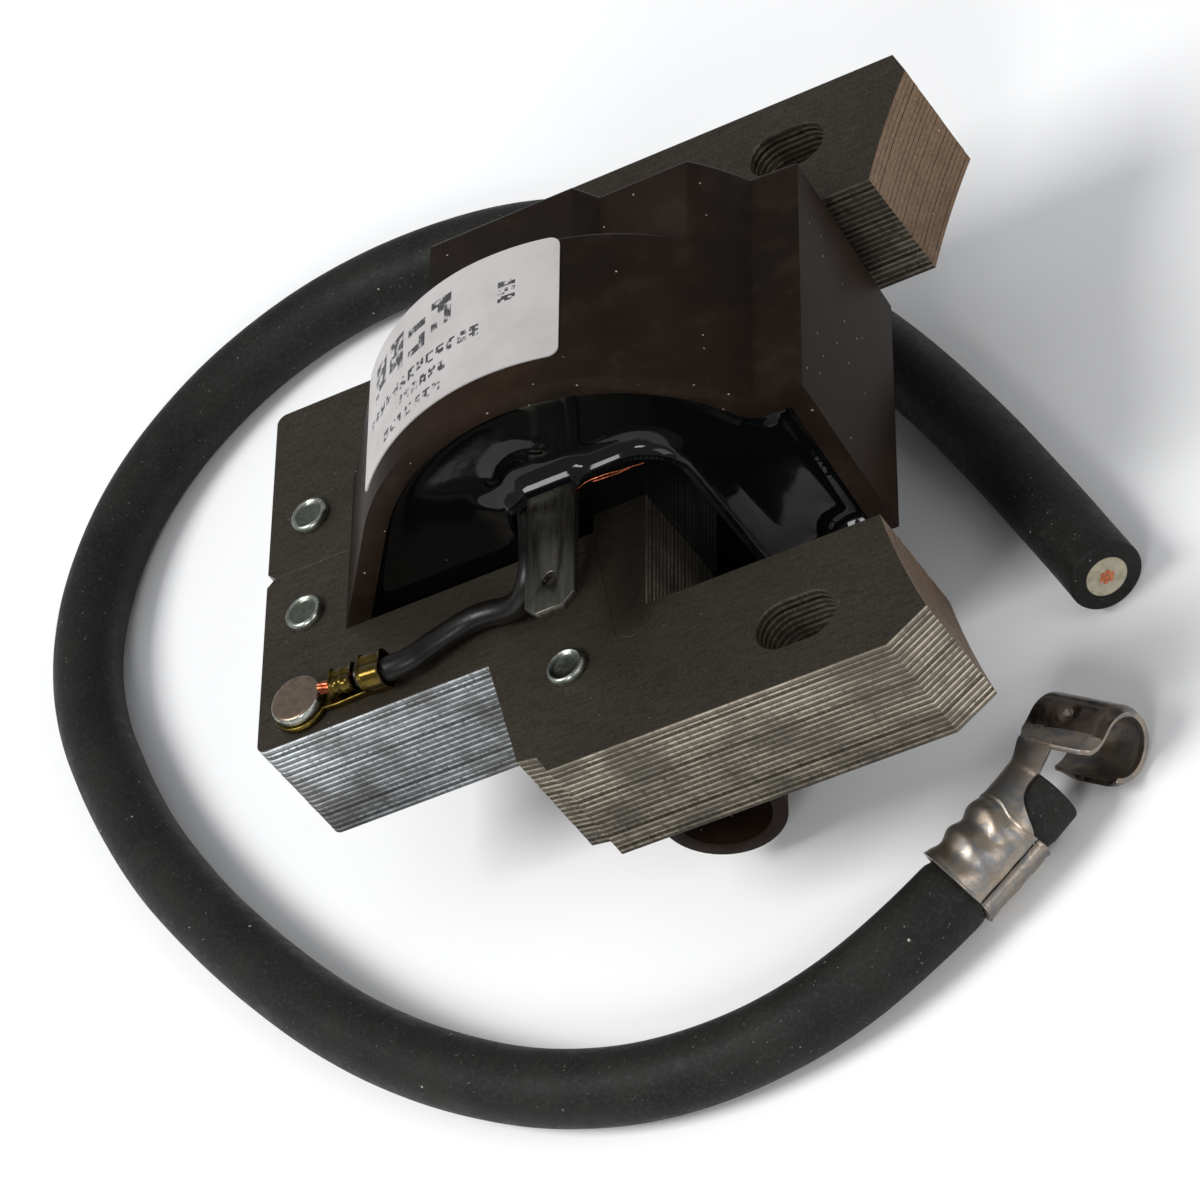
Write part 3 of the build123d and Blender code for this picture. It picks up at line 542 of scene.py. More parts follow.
def look_label():
    """Off-white paper with worn grey marks where print would be. UV runs 0 to 1 along and up."""
    look = Look("label_paper", specular=0.3)
    uv = look.node("ShaderNodeTexCoord").outputs["UV"]
    place = look.node("ShaderNodeSeparateXYZ", {"Vector": uv}).outputs
    marks = 0.0
    for number, (low_u, high_u, low_v, high_v, letters, upright) in enumerate(PRINT_ROWS):
        across = look.span(place["X"], low_u, high_u)
        up = look.span(place["Y"], low_v, high_v)
        along, tall = (up, across) if upright else (across, up)
        in_row = look.math("COMPARE", across, 0.5, 0.4999)
        in_row = look.times(in_row, look.math("COMPARE", up, 0.5, 0.4999))
        column = look.times(along, letters * CELLS_A_LETTER)
        in_letter = look.math("MODULO", column, CELLS_A_LETTER)
        in_letter = look.math("LESS_THAN", in_letter, CELLS_A_LETTER - 1)
        cell = look.node("ShaderNodeCombineXYZ", {
            "X": look.math("FLOOR", column),
            "Y": look.math("FLOOR", look.times(tall, CELLS_UP)),
            "Z": PRINT_SEED + number,
        })
        pick = look.node("ShaderNodeTexWhiteNoise", {"Vector": cell.outputs[0]}, noise_dimensions="3D")
        inked = look.math("LESS_THAN", pick.outputs["Value"], INKED_SHARE)
        mark = look.times(in_row, look.times(in_letter, inked))
        marks = look.math("MAXIMUM", marks, mark)
    wear = look.span(look.noise(1.1, 4, 0.7), 0.40, 0.50)
    fibre = look.noise(0.25, 3, 0.6)
    paper = look.blend(look.noise(5, 3, 0.6), 0.4, 0.75, (0.475, 0.455, 0.445), (0.41, 0.39, 0.38))
    color = look.mix(look.times(marks, wear), paper, (0.045, 0.045, 0.05))
    return look.finish(color, (fibre, 0.3, 0.7, 0.42, 0.6), (fibre, 0.008))


def look_plastic(name, color, finish):
    """Plain moulded plastic with faint cloudiness and a fine grain."""
    look = Look(name)
    grain = look.noise(0.4, 2, 0.6)
    color = look.blend(look.noise(4, 3, 0.6), 0.35, 0.7, color, tuple(part * 0.7 for part in color))
    return look.finish(color, (grain, 0.3, 0.7, finish, finish + 0.12), (grain, 0.01))


def look_floor():
    look = Look("floor", specular=0.2)
    cloud = look.noise(60, 3, 0.5)
    color = look.blend(cloud, 0.3, 0.7, (0.93, 0.93, 0.93), (0.90, 0.90, 0.90))
    return look.finish(color, (cloud, 0.3, 0.7, 0.75, 0.85))


# ------------------------------------------------------------------ the lead
LEAD_R = 3.5 * MM
INSULATION_R = 1.95 * MM
STRAND_R = 0.24 * MM
STRAND_RING_R = 0.50 * MM
STRAND_LAY = 22 * MM
PROUD = 0.06 * MM  # how far each inner layer stands out of the one round it
CUT_ROUNDING = 0.22 * MM
GRIP = 0.25 * MM  # how deep the barrel presses into the jacket
GRIP_LAP = 0.8 * MM
BARREL_START = 3.9 * MM
BARREL_END = 11.2 * MM
LEAD_SIDE = Vector((0.7071, -0.7071, 0.0))
LEAD_POINTS = [
    (0.0112, -0.0344, -0.01055),
    (0.0000, -0.0450, -0.01055),
    (-0.0173, -0.0512, -0.0115),
    (-0.0360, -0.0490, -0.0115),
    (-0.0557, -0.0364, -0.0115),
    (-0.0725, -0.0175, -0.0115),
    (-0.0845, 0.0010, -0.0115),
    (-0.0930, 0.0240, -0.0115),
    (-0.0883, 0.0465, -0.0115),
    (-0.0700, 0.0616, -0.0115),
    (-0.0450, 0.0624, -0.0115),
    (-0.0240, 0.0505, -0.0115),
    (-0.0060, 0.0300, -0.0115),
    (0.0074, 0.0085, -0.0115),
    (0.0177, -0.0124, -0.0115),
]
lead_line = line_of(LEAD_POINTS, 48)
lead_frames = frames_along(lead_line, LEAD_SIDE)
lead_length = lead_frames[-1][4]


def lead_radius(distance, angle):
    """The jacket is a little uneven, waisted under the barrel and rounded at its cut ends."""
    way = Vector((cos(angle), sin(angle), distance / (9 * MM)))
    size = LEAD_R - 0.05 * MM + 0.05 * MM * noise.noise(way)
    from_end = min(distance, lead_length - distance)
    if from_end < CUT_ROUNDING:
        size -= CUT_ROUNDING - sqrt(CUT_ROUNDING**2 - (CUT_ROUNDING - from_end) ** 2)
    into_grip = min(distance - BARREL_START, BARREL_END - distance) + GRIP_LAP
    if into_grip > 0:
        size -= GRIP * min(into_grip / GRIP_LAP, 1)
    return size


def end_refined(frames, step=0.05 * MM, reach=0.25 * MM):
    """The frames with extra ones close to both ends, for a rounded edge."""
    ends = []
    for sign, (place, across, up, along, distance) in ((1, frames[0]), (-1, frames[-1])):
        shifts = [sign * step * i for i in range(int(reach / step) + 1)]
        ends.append([(place + along * shift, across, up, along, distance + shift) for shift in shifts])
    middle = [f for f in frames if reach * 1.5 < f[4] < lead_length - reach * 1.5]
    return ends[0] + middle + ends[1][::-1]


def stretched(frames, by):
    """The frames with both ends moved out by a little."""
    result = list(frames)
    for end, sign in ((0, -1), (-1, 1)):
        place, across, up, along, distance = frames[end]
        result[end] = (place + along * sign * by, across, up, along, distance)
    return result


def twisted(frames, offset, start, lay):
    """A line that winds round the middle of the frames, one turn in each lay."""
    line = []
    for place, across, up, _, distance in frames:
        line.append(place + spoke(start + 2 * pi * distance / lay, across, up) * offset)
    return line


def make_lead():
    """The jacket, its white inner insulation and seven twisted strands."""
    jacket_mesh = tube("lead_rubber", end_refined(lead_frames), lead_radius, 56)
    jacket = piece("lead_rubber", jacket_mesh, [look_rubber()], "lead_jacket", "lead_jacket")
    core_mesh = tube("lead_inner", stretched(lead_frames, PROUD), INSULATION_R, 40)
    core = piece("lead_inner", core_mesh, [look_insulation()], "insulation", "lead_insulation")
    longer = stretched(lead_frames, 2 * PROUD)
    longer = longer[::3] + [longer[-1]]
    strands = []
    for offset, start in [(0.0, 0.0)] + [(STRAND_RING_R, i * pi / 3) for i in range(6)]:
        line = twisted(longer, offset, start, STRAND_LAY)
        strands.append(tube("strand", frames_along(line, LEAD_SIDE), STRAND_R, 10))
    wire = piece("lead_strands", joined("lead_strands", strands), [copper], "copper", "lead_conductor")
    return jacket, core, wire


def on_lead(distance):
    """The lead's frame at a distance from the plug's end, worked out between two of its frames."""
    for before, after in zip(lead_frames, lead_frames[1:]):
        if after[4] >= distance:
            share = (distance - before[4]) / (after[4] - before[4])
            place, *axes = [a.lerp(b, share) for a, b in zip(before[:4], after[:4])]
            return (place, *(axis.normalized() for axis in axes))
    return lead_frames[-1][:4]


copper = look_copper("copper", (0.80, 0.27, 0.13), (0.50, 0.15, 0.07))
aged_copper = look_copper("aged_copper", (0.33, 0.092, 0.041), (0.145, 0.038, 0.017))
lead, lead_core, lead_wire = make_lead()

# ------------------------------------------------------------------ laminations
SHEETS = 20
SHEET_T = 0.615 * MM
SHEET_PITCH = 0.635 * MM
SHEET_EDGE = 0.045 * MM  # rounding
SHEET_JOG = 0.022 * MM  # how far a sheet may lie out of line
STACK = SHEETS * SHEET_PITCH
POLE_FROM_X = 7.6 * MM
YOKE_EDGE_ENDS = (-31, -29)  # X where the yoke's cold edge turns into the arms' warm one
FACE, EDGE, POLE = range(3)


def make_stack(node, name):
    """A core as its separate sheets, each a hair out of line with the next."""
    loops = outlines(node, 2, STACK)
    mesh = bpy.data.meshes.new(name)
    with edited(mesh) as work:
        for number in range(SHEETS):
            sheet = plate(loops, SHEET_T, SHEET_EDGE, 1)
            jog = Vector((random.uniform(-1, 1), random.uniform(-1, 1), 0)) * SHEET_JOG
            sheet.transform(Matrix.Translation(jog + UP * ((number + 0.5) * SHEET_PITCH)))
            work.from_mesh(sheet)
        bmesh.ops.remove_doubles(work, verts=work.verts, dist=1e-7)
        for face in work.faces:
            face.smooth = False
            if abs(face.normal.z) > 0.85:
                face.material_index = FACE
            elif face.calc_center_median().x > POLE_FROM_X and face.normal.x > 0.8:
                face.material_index = POLE
            else:
                face.material_index = EDGE
    piece(name, mesh, core_looks, "lamination", node)


core_looks = [look_sheet_face(), look_sheet_edge(), look_pole_face()]
make_stack("lower_core", "lower_laminations")
make_stack("upper_core", "upper_laminations")
make_stack("center_core", "center_laminations")

# ------------------------------------------------------------------ rivets
# Profiles are (radius, height above the stack) in millimetres, from the head's middle to the tail's.
RIVET_PROFILE = [
    (0.0, 0.44), (0.45, 0.435), (0.85, 0.44), (1.10, 0.47), (1.25, 0.53), (1.36, 0.62),
    (1.45, 0.70), (1.53, 0.74), (1.61, 0.735), (1.70, 0.69), (1.79, 0.59), (1.86, 0.44),
    (1.89, 0.26), (1.89, 0.06), (1.86, 0.0), (1.25, 0.0), (1.25, -0.4),
    (1.25, -12.7), (1.90, -12.70), (1.90, -13.00), (1.83, -13.20), (1.70, -13.35),
    (1.45, -13.44), (0.8, -13.45), (0.0, -13.45),
]
DISH_R = 1.33 * MM
DISH_FROM = 0.3 * MM


def rivet(node, x, y, looks):
    """A tubular rivet whose head is rolled over into a bright rim round a wide dish that carries
    painted shade.
    """
    name = node + "_head"
    place = Vector((x, y, STACK))
    mesh = lathe(name, RIVET_PROFILE, place, 56, 0.025 * MM, x * 400)
    for face in mesh.polygons:
        off = face.center - place
        # Faces inside the dish take the darker zinc: painted shade in the recess.
        face.material_index = int(off.z > DISH_FROM and hypot(off.x, off.y) < DISH_R)
    piece(name, mesh, looks, "rivet", node)


zinc = look_zinc("zinc", (0.40, 0.42, 0.38), (0.13, 0.14, 0.115))
# Darker zinc for the rivets' dishes: painted shade.
zinc_dish_painted_shade = look_zinc("zinc_dish_painted_shade", (0.165, 0.175, 0.148), (0.075, 0.08, 0.065))
for node, x, y in (
    ("lower_yoke_rivet", -49.3, -5.9),
    ("upper_yoke_rivet", -49.3, 5.9),
    ("lower_arm_rivet", -22.0, -24.2),
    ("upper_arm_rivet", -22.0, 24.2),
):
    rivet(node, x * MM, y * MM, [zinc, zinc_dish_painted_shade])

# ------------------------------------------------------------------ potting
POTTING_FRONT = -8.9 * MM  # the CAD's flat front, whose outline is the cavity's
SLAB_BACK = -7.4 * MM
# The rest is in millimetres: places are (x, z) and levels are in front of the coil's middle plane.
LEVEL = 8.3
CREST = 10.15
LEG_MID = (-17.05, 6.35)
LEG_HALF = (2.65, 6.35)
BOSS_HALF = (8.3, 13.0)
BOSS_CORNER = 4.0
BLADE_MID = (-19.8, 19.3)
BLADE_HALF = (2.4, 0.4)
WIRE_MID = (-23.3, 17.6)
WIRE_R = 1.15
WELT = [(-24.4, 21.9), (-23.3, 23.2), (-21.8, 23.9), (-20.4, 23.9), (-19.1, 23.2)]
BLOB = (-26.4, 18.8)
EDGE_STEP = 0.4
WALL_STEP = 0.1  # of the points that the distance from the wall is taken to
WALL_INSETS = (0.12, 0.28, 0.5, 0.8)
GRID_STEP = 0.36
GRID_FROM_WALL = 1.0


def box_distance(x, z, middle, half, corner=0.0):
    """Distance outside a rounded rectangle, negative inside it."""
    across = abs(x - middle[0]) - half[0] + corner
    up = abs(z - middle[1]) - half[1] + corner
    outside = hypot(max(across, 0), max(up, 0))
    return outside + min(max(across, up), 0) - corner


def eased(value):
    value = min(max(value, 0), 1)
    return value * value * (3 - 2 * value)


def line_distance(x, z, line):
    spot = Vector((x, z))
    gaps = []
    for a, b in zip(line, line[1:]):
        way = Vector(b) - Vector(a)
        share = min(max((spot - Vector(a)).dot(way) / way.length_squared, 0), 1)
        gaps.append((spot - Vector(a) - way * share).length)
    return min(gaps)


def climb(height, reach, distance):
    """How far the surface climbs at that distance from something it wets."""
    return height * exp(-max(distance, 0) / reach)


def ridge(height, half_width, distance):
    return height * exp(-((distance / half_width) ** 2))


def potting_height(x, z, wall):
    """Level of the cast surface at a place whose distance from the shell's wall is given."""
    ear = eased((x + 6) / 5)
    height = LEVEL + climb(0.80, 0.38, wall) + climb(0.10 + 0.35 * ear, 1.8, wall)
    boss = box_distance(x, z, LEG_MID, BOSS_HALF, BOSS_CORNER)
    shoulder = 0.30 * eased((2.6 - boss) / 3.0) + 0.70 * eased(0.5 - boss)
    recess = 0.65 * eased((-boss - 0.55) / 1.2)
    height += (CREST - LEVEL) * shoulder * (1 - 0.35 * eased((1.2 - wall) / 1.2)) - recess
    height += climb(0.30, 0.45, box_distance(x, z, LEG_MID, LEG_HALF))
    height += climb(0.55, 0.45, box_distance(x, z, BLADE_MID, BLADE_HALF))
    height += climb(0.40, 0.45, dist((x, z), WIRE_MID) - WIRE_R)
    height += ridge(0.24, 0.6, line_distance(x, z, WELT))
    height += ridge(0.25, 1.1, dist((x, z), BLOB))
    height += ridge(0.22 * ear, 0.4, wall - 1.35)
    height += 0.10 * shoulder * noise.noise(Vector((x / 1.9, 3, z / 1.9)))
    return height + 0.02 * noise.noise(Vector((x / 5.5, 0, z / 5.5))) * eased(wall / 1.5)


def inside(point, loop):
    x, z = point
    hit = False
    for (ax, az), (bx, bz) in zip(loop, loop[1:] + loop[:1]):
        if (az > z) != (bz > z) and x < (bx - ax) * (z - az) / (bz - az) + ax:
            hit = not hit
    return hit


def evenly(loop, step):
    """The closed loop with points added so that none are further apart than step."""
    result = []
    for (ax, az), (bx, bz) in zip(loop, loop[1:] + loop[:1]):
        count = max(1, ceil(dist((ax, az), (bx, bz)) / step))
        result += [(ax + (bx - ax) * i / count, az + (bz - az) * i / count) for i in range(count)]
    return result


def potting_points(edge, wall):
    """Points over the cast surface: its edge, rows that follow the edge and a staggered grid."""
    points = list(edge)
    for inset in WALL_INSETS:
        for number, (x, z) in enumerate(edge):
            ahead, behind = edge[(number + 1) % len(edge)], edge[number - 1]
            way = Vector((behind[1] - ahead[1], ahead[0] - behind[0])).normalized()
            spot = (x + way.x * inset, z + way.y * inset)
            if wall(*spot) > inset * 0.93 and inside(spot, edge):
                points.append(spot)
    low_x, low_z = [min(p[i] for p in edge) for i in (0, 1)]
    high_x, high_z = [max(p[i] for p in edge) for i in (0, 1)]
    for i in range(int((high_x - low_x) / GRID_STEP) + 1):
        for j in range(int((high_z - low_z) / GRID_STEP) + 1):
            spot = (low_x + i * GRID_STEP + (j % 2) * GRID_STEP / 2, low_z + j * GRID_STEP)
            if inside(spot, edge) and wall(*spot) > GRID_FROM_WALL:
                points.append(spot)
    return points


def make_potting():
    """Cast epoxy: the cavity's outline with a free surface that climbs every wall it meets."""
    outline = [(x / MM, z / MM) for x, z in outlines("potting", 1, POTTING_FRONT)[0]]
    if area_of(outline) < 0:
        outline.reverse()
    edge = evenly(outline, EDGE_STEP)
    fine = evenly(outline, WALL_STEP)
    near_edge = kdtree.KDTree(len(fine))
    for number, (x, z) in enumerate(fine):
        near_edge.insert((x, z, 0), number)
    near_edge.balance()

    def wall(x, z):
        return near_edge.find((x, z, 0))[2]

    points = [Vector(p) for p in potting_points(edge, wall)]
    ring = [(i, (i + 1) % len(edge)) for i in range(len(edge))]
    flat, _, faces = geometry.delaunay_2d_cdt(points, ring, [], 1, 1e-5)[:3]
    front = [Vector((x, -potting_height(x, z, wall(x, z)), z)) * MM for x, z in flat]
    back = [Vector((p.x, SLAB_BACK, p.z)) for p in front]
    count = len(front)
    pairs = {pair: True for face in faces for pair in zip(face, list(face[1:]) + [face[0]])}
    sides = [(a, b, b + count, a + count) for a, b in pairs if (b, a) not in pairs]
    backs = [tuple(i + count for i in reversed(face)) for face in faces]
    slab = mesh_from("cast_front", front + back, list(faces) + sides + backs)
    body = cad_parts["potting"].data.copy()
    body.materials.clear()
    for vertex in body.vertices:
        vertex.co.y = max(vertex.co.y, SLAB_BACK - 0.02 * MM)
    with edited(body) as work:
        bmesh.ops.remove_doubles(work, verts=work.verts, dist=1e-6)
        bmesh.ops.dissolve_degenerate(work, edges=work.edges, dist=1e-6)
    mesh = joined("cast_epoxy", [tidy(slab, 40), body])
    piece("cast_epoxy", mesh, [look_epoxy()], "potting", "potting")


# Each turn of wire that the epoxy barely covers: how far it lies below the crest, and its ends along X.
BARED_TURNS = ((0.0, -17.6, -11.2), (0.34, -16.2, -12.6))
TURN_STEPS = 24
TURN_R = 0.07
TURN_DEPTH = 0.06  # of its middle below the epoxy's surface
TURN_SINK = 0.16  # how much deeper its ends go
TURNS_TOP = 19.0
TURNS_DROOP = 0.5  # how much lower they lie towards their far end


def make_bared_turns():
    """Turns of the winding's wire that show through the epoxy at the top of the boss."""
    turns = []
    for drop, start, end in BARED_TURNS:
        line = []
        for i in range(TURN_STEPS + 1):
            x = start + (end - start) * i / TURN_STEPS
            z = TURNS_TOP - drop - TURNS_DROOP * eased((x + 15.2) / 5)
            sink = TURN_SINK * (2 * i / TURN_STEPS - 1) ** 2
            y = -potting_height(x, z, 3.0) + TURN_DEPTH + sink
            line.append(Vector((x, y, z)) * MM)
        turns.append(tube("turn", frames_along(line, UP), TURN_R * MM, 12))
    piece("bared_turns", joined("bared_turns", turns), [aged_copper], "copper")


make_potting()
make_bared_turns()

# ------------------------------------------------------------------ ground rivet, terminal and wire
GROUND = Vector((-48.9, -17.1, 12.7)) * MM
GROUND_PROFILE = [
    (0.0, 0.93), (0.3, 0.94), (0.45, 0.985), (0.75, 0.975), (0.95, 0.955), (1.15, 0.985),
    (1.4, 0.96), (1.65, 0.985), (1.85, 0.99), (2.15, 0.98), (2.30, 0.95), (2.42, 0.88),
    (2.50, 0.77), (2.545, 0.62), (2.55, 0.30), (2.52, 0.10), (2.46, 0.02), (2.40, 0.0),
    (1.25, 0.0), (1.25, -13.4), (1.90, -13.40), (1.90, -13.75), (1.80, -13.98), (1.60, -14.10),
    (1.0, -14.14), (0.0, -14.15),
]
LUG_T = 0.7 * MM
LUG_R = 2.8
LUG_HOLE_R = 1.32
LUG_NECK = [(4.0, 1.3), (6.5, 0.95), (9.4, 0.9)]  # half widths along it
LUG_TURN = radians(-5)
RING_STEPS = 60
HOLE_STEPS = 32
CRIMP_Z = 1.9
CRIMP_STEPS = 40
CRIMP_SIDES = 44
CRIMP_SEAM = 3  # degrees from the seam's middle to each wing
CRIMP_WING = 0.13  # share of the way round that dives
CRIMP_DIVE = 0.30  # how far it dives, as a share of the radius
CRIMP_BELL = 0.16  # how much wider both mouths are
CRIMP_RIB = 0.07
WIRE_POINTS = [
    (-0.0233, -0.0072, 0.0176),
    (-0.0229, -0.0125, 0.0175),
    (-0.0233, -0.0166, 0.0168),
    (-0.0262, -0.0165, 0.0141),
    (-0.0304, -0.0152, 0.01385),
    (-0.0345, -0.0164, 0.01385),
    (-0.0380, -0.0184, 0.0143),
    (-0.0420, -0.0177, 0.0146),
]
BARE_X = (6.6, 6.2, 5.6, 4.9, 4.3, 3.7, 3.1, 2.75)
BARE_STRANDS = 8  # round one in the middle
BARE_R = 0.16 * MM
BARE_RING_R = 0.40 * MM
BARE_LAY = 13 * MM


def make_ground_rivet():
    """A flat head with turned rings, a rounded edge and a small clenched tail."""
    place = GROUND + UP * LUG_T
    mesh = lathe("ground_rivet_head", GROUND_PROFILE, place, 72, 0.02 * MM, 5)
    for face in mesh.polygons:
        face.material_index = int(face.normal.z > 0.8 and face.center.z > place.z + 0.9 * MM)
    looks = [zinc, look_zinc("worn_zinc", (0.30, 0.225, 0.17), (0.17, 0.13, 0.095))]
    piece("ground_rivet_head", mesh, looks, "rivet", "ground_rivet")


def lug_point(x, y, z):
    """A place measured from the ground rivet's foot, along and across the terminal."""
    turned = Matrix.Rotation(LUG_TURN, 3, "Z") @ Vector((x, y, 0))
    return GROUND + Vector((turned.x, turned.y, z)) * MM


def crimp(name, start, end, radius, wall, waves):
    """A crimped barrel: its two wings roll over and dive into the wire along a seam on top."""
    rows = []
    for i in range(CRIMP_STEPS + 1):
        share = i / CRIMP_STEPS
        x = start + (end - start) * share
        bell = CRIMP_BELL * (eased((0.12 - share) / 0.12) + eased((share - 0.88) / 0.12))
        rib = CRIMP_RIB * cos(2 * pi * waves * share) if waves else 0
        row = []
        order = range(CRIMP_SIDES + 1)
        for inset, sides in ((0, order), (wall, reversed(order))):
            for j in sides:
                angle = radians(CRIMP_SEAM + (360 - 2 * CRIMP_SEAM) * j / CRIMP_SIDES)
                near = min(j, CRIMP_SIDES - j) / CRIMP_SIDES
                dive = CRIMP_DIVE * radius * eased((CRIMP_WING - near) / CRIMP_WING)
                size = radius + bell + rib - dive - inset
                row.append(lug_point(x, sin(angle) * size, CRIMP_Z + cos(angle) * size))
        rows.append(row)
    return tidy(skin(name, rows), 40)


def make_lug():
    """The flat ring and neck of the terminal, with rounded edges."""
    neck = LUG_NECK[0][1]
    gap = asin(neck / LUG_R)
    angles = [gap + (2 * pi - 2 * gap) * i / RING_STEPS for i in range(RING_STEPS + 1)]
    ring = [(LUG_R * cos(angle), LUG_R * sin(angle)) for angle in angles]
    ring += [(x, -half) for x, half in LUG_NECK] + LUG_NECK[::-1]
    turns = [2 * pi * i / HOLE_STEPS for i in range(HOLE_STEPS)]
    hole = [(LUG_HOLE_R * cos(angle), LUG_HOLE_R * sin(angle)) for angle in turns]
    loops = [[(x * MM, y * MM) for x, y in loop] for loop in (ring, hole)]
    mesh = plate(loops, LUG_T - 0.02 * MM, 0.12 * MM, 2)
    mesh.transform(Matrix.Translation(GROUND + UP * (LUG_T / 2)) @ Matrix.Rotation(LUG_TURN, 4, "Z"))
    return tidy(mesh, 40)


def make_ring_terminal():
    strand_crimp = crimp("strand_crimp", 4.3, 6.5, 1.12, 0.3, 2)
    jacket_crimp = crimp("jacket_crimp", 7.4, 9.6, 1.56, 0.32, 0)
    mesh = joined("ring_terminal", [make_lug(), strand_crimp, jacket_crimp])
    piece("ring_terminal", mesh, [look_brass()], "brass", "ground_terminal")


def wire_radius(distance, angle):
    way = Vector((cos(angle), sin(angle), distance * 160))
    return (WIRE_R + 0.015 * noise.noise(way)) * MM


def make_ground_wire():
    """The jacket, and its strands run on bare and pinched lower where the small crimp holds them."""
    line = line_of(WIRE_POINTS, 16)
    mesh = tube("ground_wire", frames_along(line, UP), wire_radius, 40)
    piece("ground_wire", mesh, [look_vinyl()], "wire_jacket", "ground_wire_jacket")
    line += [lug_point(x, 0, CRIMP_Z - 0.15 * eased((6.8 - x) / 1.2)) for x in BARE_X]
    frames = frames_along(line, UP)
    strands = []
    for number in range(BARE_STRANDS + 1):
        offset = 0.0 if number == BARE_STRANDS else BARE_RING_R
        way = twisted(frames, offset, number * 2 * pi / BARE_STRANDS, BARE_LAY)
        strands.append(tube("strand", frames_along(way, UP), BARE_R, 8))
    mesh = joined("ground_strands", strands)
    piece("ground_strands", mesh, [aged_copper], "copper", "ground_wire_strands")


make_ground_rivet()
make_ring_terminal()
make_ground_wire()


# ------------------------------------------------------------------ housing, blade and label
def round_sharp(work, width, angle):
    """Rounds the edges that are sharper than the angle."""
    sharp = [e for e in work.edges if e.is_manifold and e.calc_face_angle(0) > radians(angle)]
    shape = {"segments": 2, "profile": 0.5, "affect": "EDGES", "clamp_overlap": True}
    bmesh.ops.bevel(work, geom=sharp, offset=width, **shape)


def softened(node, width):
    """A copy of a CAD node with its sharp edges rounded."""
    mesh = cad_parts[node].data.copy()
    mesh.materials.clear()
    with edited(mesh) as work:
        bmesh.ops.remove_doubles(work, verts=work.verts, dist=1e-6)
        flat = radians(0.6)
        bmesh.ops.dissolve_limit(work, angle_limit=flat, verts=work.verts, edges=work.edges)
        round_sharp(work, width, 40)
    return tidy(mesh, 40)


BODY = Vector((-19.2, 0, 8.8)) * MM
BODY_R = 22.5 * MM
LABEL_X = (-36.2, -12.8)
LABEL_Y = (-6.35, 7.9)
LABEL_T = 0.13 * MM
LABEL_SINK = 0.01 * MM
LABEL_CORNER = 1.0
CORNER_STEPS = 8
LABEL_STEPS = 24
LABEL_LONG_STEPS = 60
# Each row of print: where it lies along and up the label, in shares, how many letters it has, and
# whether it runs up the label.
PRINT_ROWS = [
    (0.12, 0.62, 0.56, 0.86, 4, False),
    (0.08, 0.72, 0.37, 0.46, 13, False),
    (0.31, 0.58, 0.235, 0.315, 6, False),
    (0.22, 0.56, 0.085, 0.165, 7, False),
    (0.78, 0.845, 0.56, 0.75, 3, True),
]
# Each letter is a block of cells that are inked at random, so it means nothing.
CELLS_A_LETTER = 4
CELLS_UP = 4.99
INKED_SHARE = 0.62
PRINT_SEED = 7.0


def make_label():
    """Paper wrapped on the round front, with rounded corners."""
    low, high = [asin((x * MM - BODY.x) / BODY_R) for x in LABEL_X]
    length = (high - low) * BODY_R / MM
    width = LABEL_Y[1] - LABEL_Y[0]
    turns = [pi / 2 * i / CORNER_STEPS for i in range(CORNER_STEPS + 1)]
    corner = [LABEL_CORNER * (1 - cos(turn)) for turn in turns]
    inner = range(1, LABEL_LONG_STEPS)
    middle = [LABEL_CORNER + (length - 2 * LABEL_CORNER) * i / LABEL_LONG_STEPS for i in inner]
    rows = []
    shares = []
    for spot in corner + middle + [length - spot for spot in reversed(corner)]:
        from_end = min(spot, length - spot)
        inset = 0.0
        if from_end < LABEL_CORNER:
            inset = LABEL_CORNER - sqrt(max(LABEL_CORNER**2 - (LABEL_CORNER - from_end) ** 2, 0))
        angle = low + spot * MM / BODY_R
        row = []
        order = range(LABEL_STEPS + 1)
        for lift, steps in ((LABEL_T, order), (-LABEL_SINK, reversed(order))):
            for j in steps:
                y = LABEL_Y[0] + inset + (width - 2 * inset) * j / LABEL_STEPS
                size = BODY_R + lift
                if lift > 0:
                    size += 0.02 * MM * noise.noise(Vector((spot / 3, y / 3, 8)))
                row.append(BODY + Vector((sin(angle) * size, y * MM, cos(angle) * size)))
                shares.append((spot / length, (y - LABEL_Y[0]) / width))
        rows.append(row)
    mesh = skin("paper_label", rows)
    layer = mesh.uv_layers.new(name="UVMap")
    for loop in mesh.loops:
        layer.data[loop.index].uv = shares[loop.vertex_index]
    piece("paper_label", tidy(mesh, 40), [look_label()], "label", "label")


piece("shell", softened("coil_housing", 0.22 * MM), [look_shell()], "shell", "coil_housing")
piece("push_on_tab", softened("stop_blade", 0.10 * MM), [look_tab()], "tab", "stop_blade")
make_label()

# ------------------------------------------------------------------ plug terminal
# In millimetres. Along is from the lead's end; degrees run up from the lead's side, round its axis.
STEEL_T = 0.45
SEAM_AT = 1.0
SEAM_HALF = 1.5
BARREL_R = 3.74
BARREL_FROM, BARREL_TO = BARREL_START / MM, BARREL_END / MM
BARREL_STEPS = 72
BARREL_SIDES = 96
CLIP_MIDDLE = Vector((14.6, -29.8, -11.25))
CLIP_OUT = Vector((0.559, 0.829, 0))
CLIP_AXIS = Vector((0.829, -0.559, 0))
CLIP_R = 3.75 - STEEL_T / 2
CLIP_FROM, CLIP_TO = -3.6, 4.7
CLIP_STEPS = 44
CLIP_SIDES = 111
CLIP_END = 448  # degrees where the ring turns into its flared lip
CURL, CURL_LENGTH = 0.13, 1.3  # the clip's far end narrows by this share over this length
FLARE = [(0.0, 3.52), (-0.9, 3.42), (-1.7, 3.42), (-2.4, 3.62), (-2.95, 3.95), (-3.35, 4.30)]
FLARE_STEPS = 22
FLARE_ABOVE, FLARE_OUT = 2.4, -1.3  # the bright lip is what lies higher and further out than this
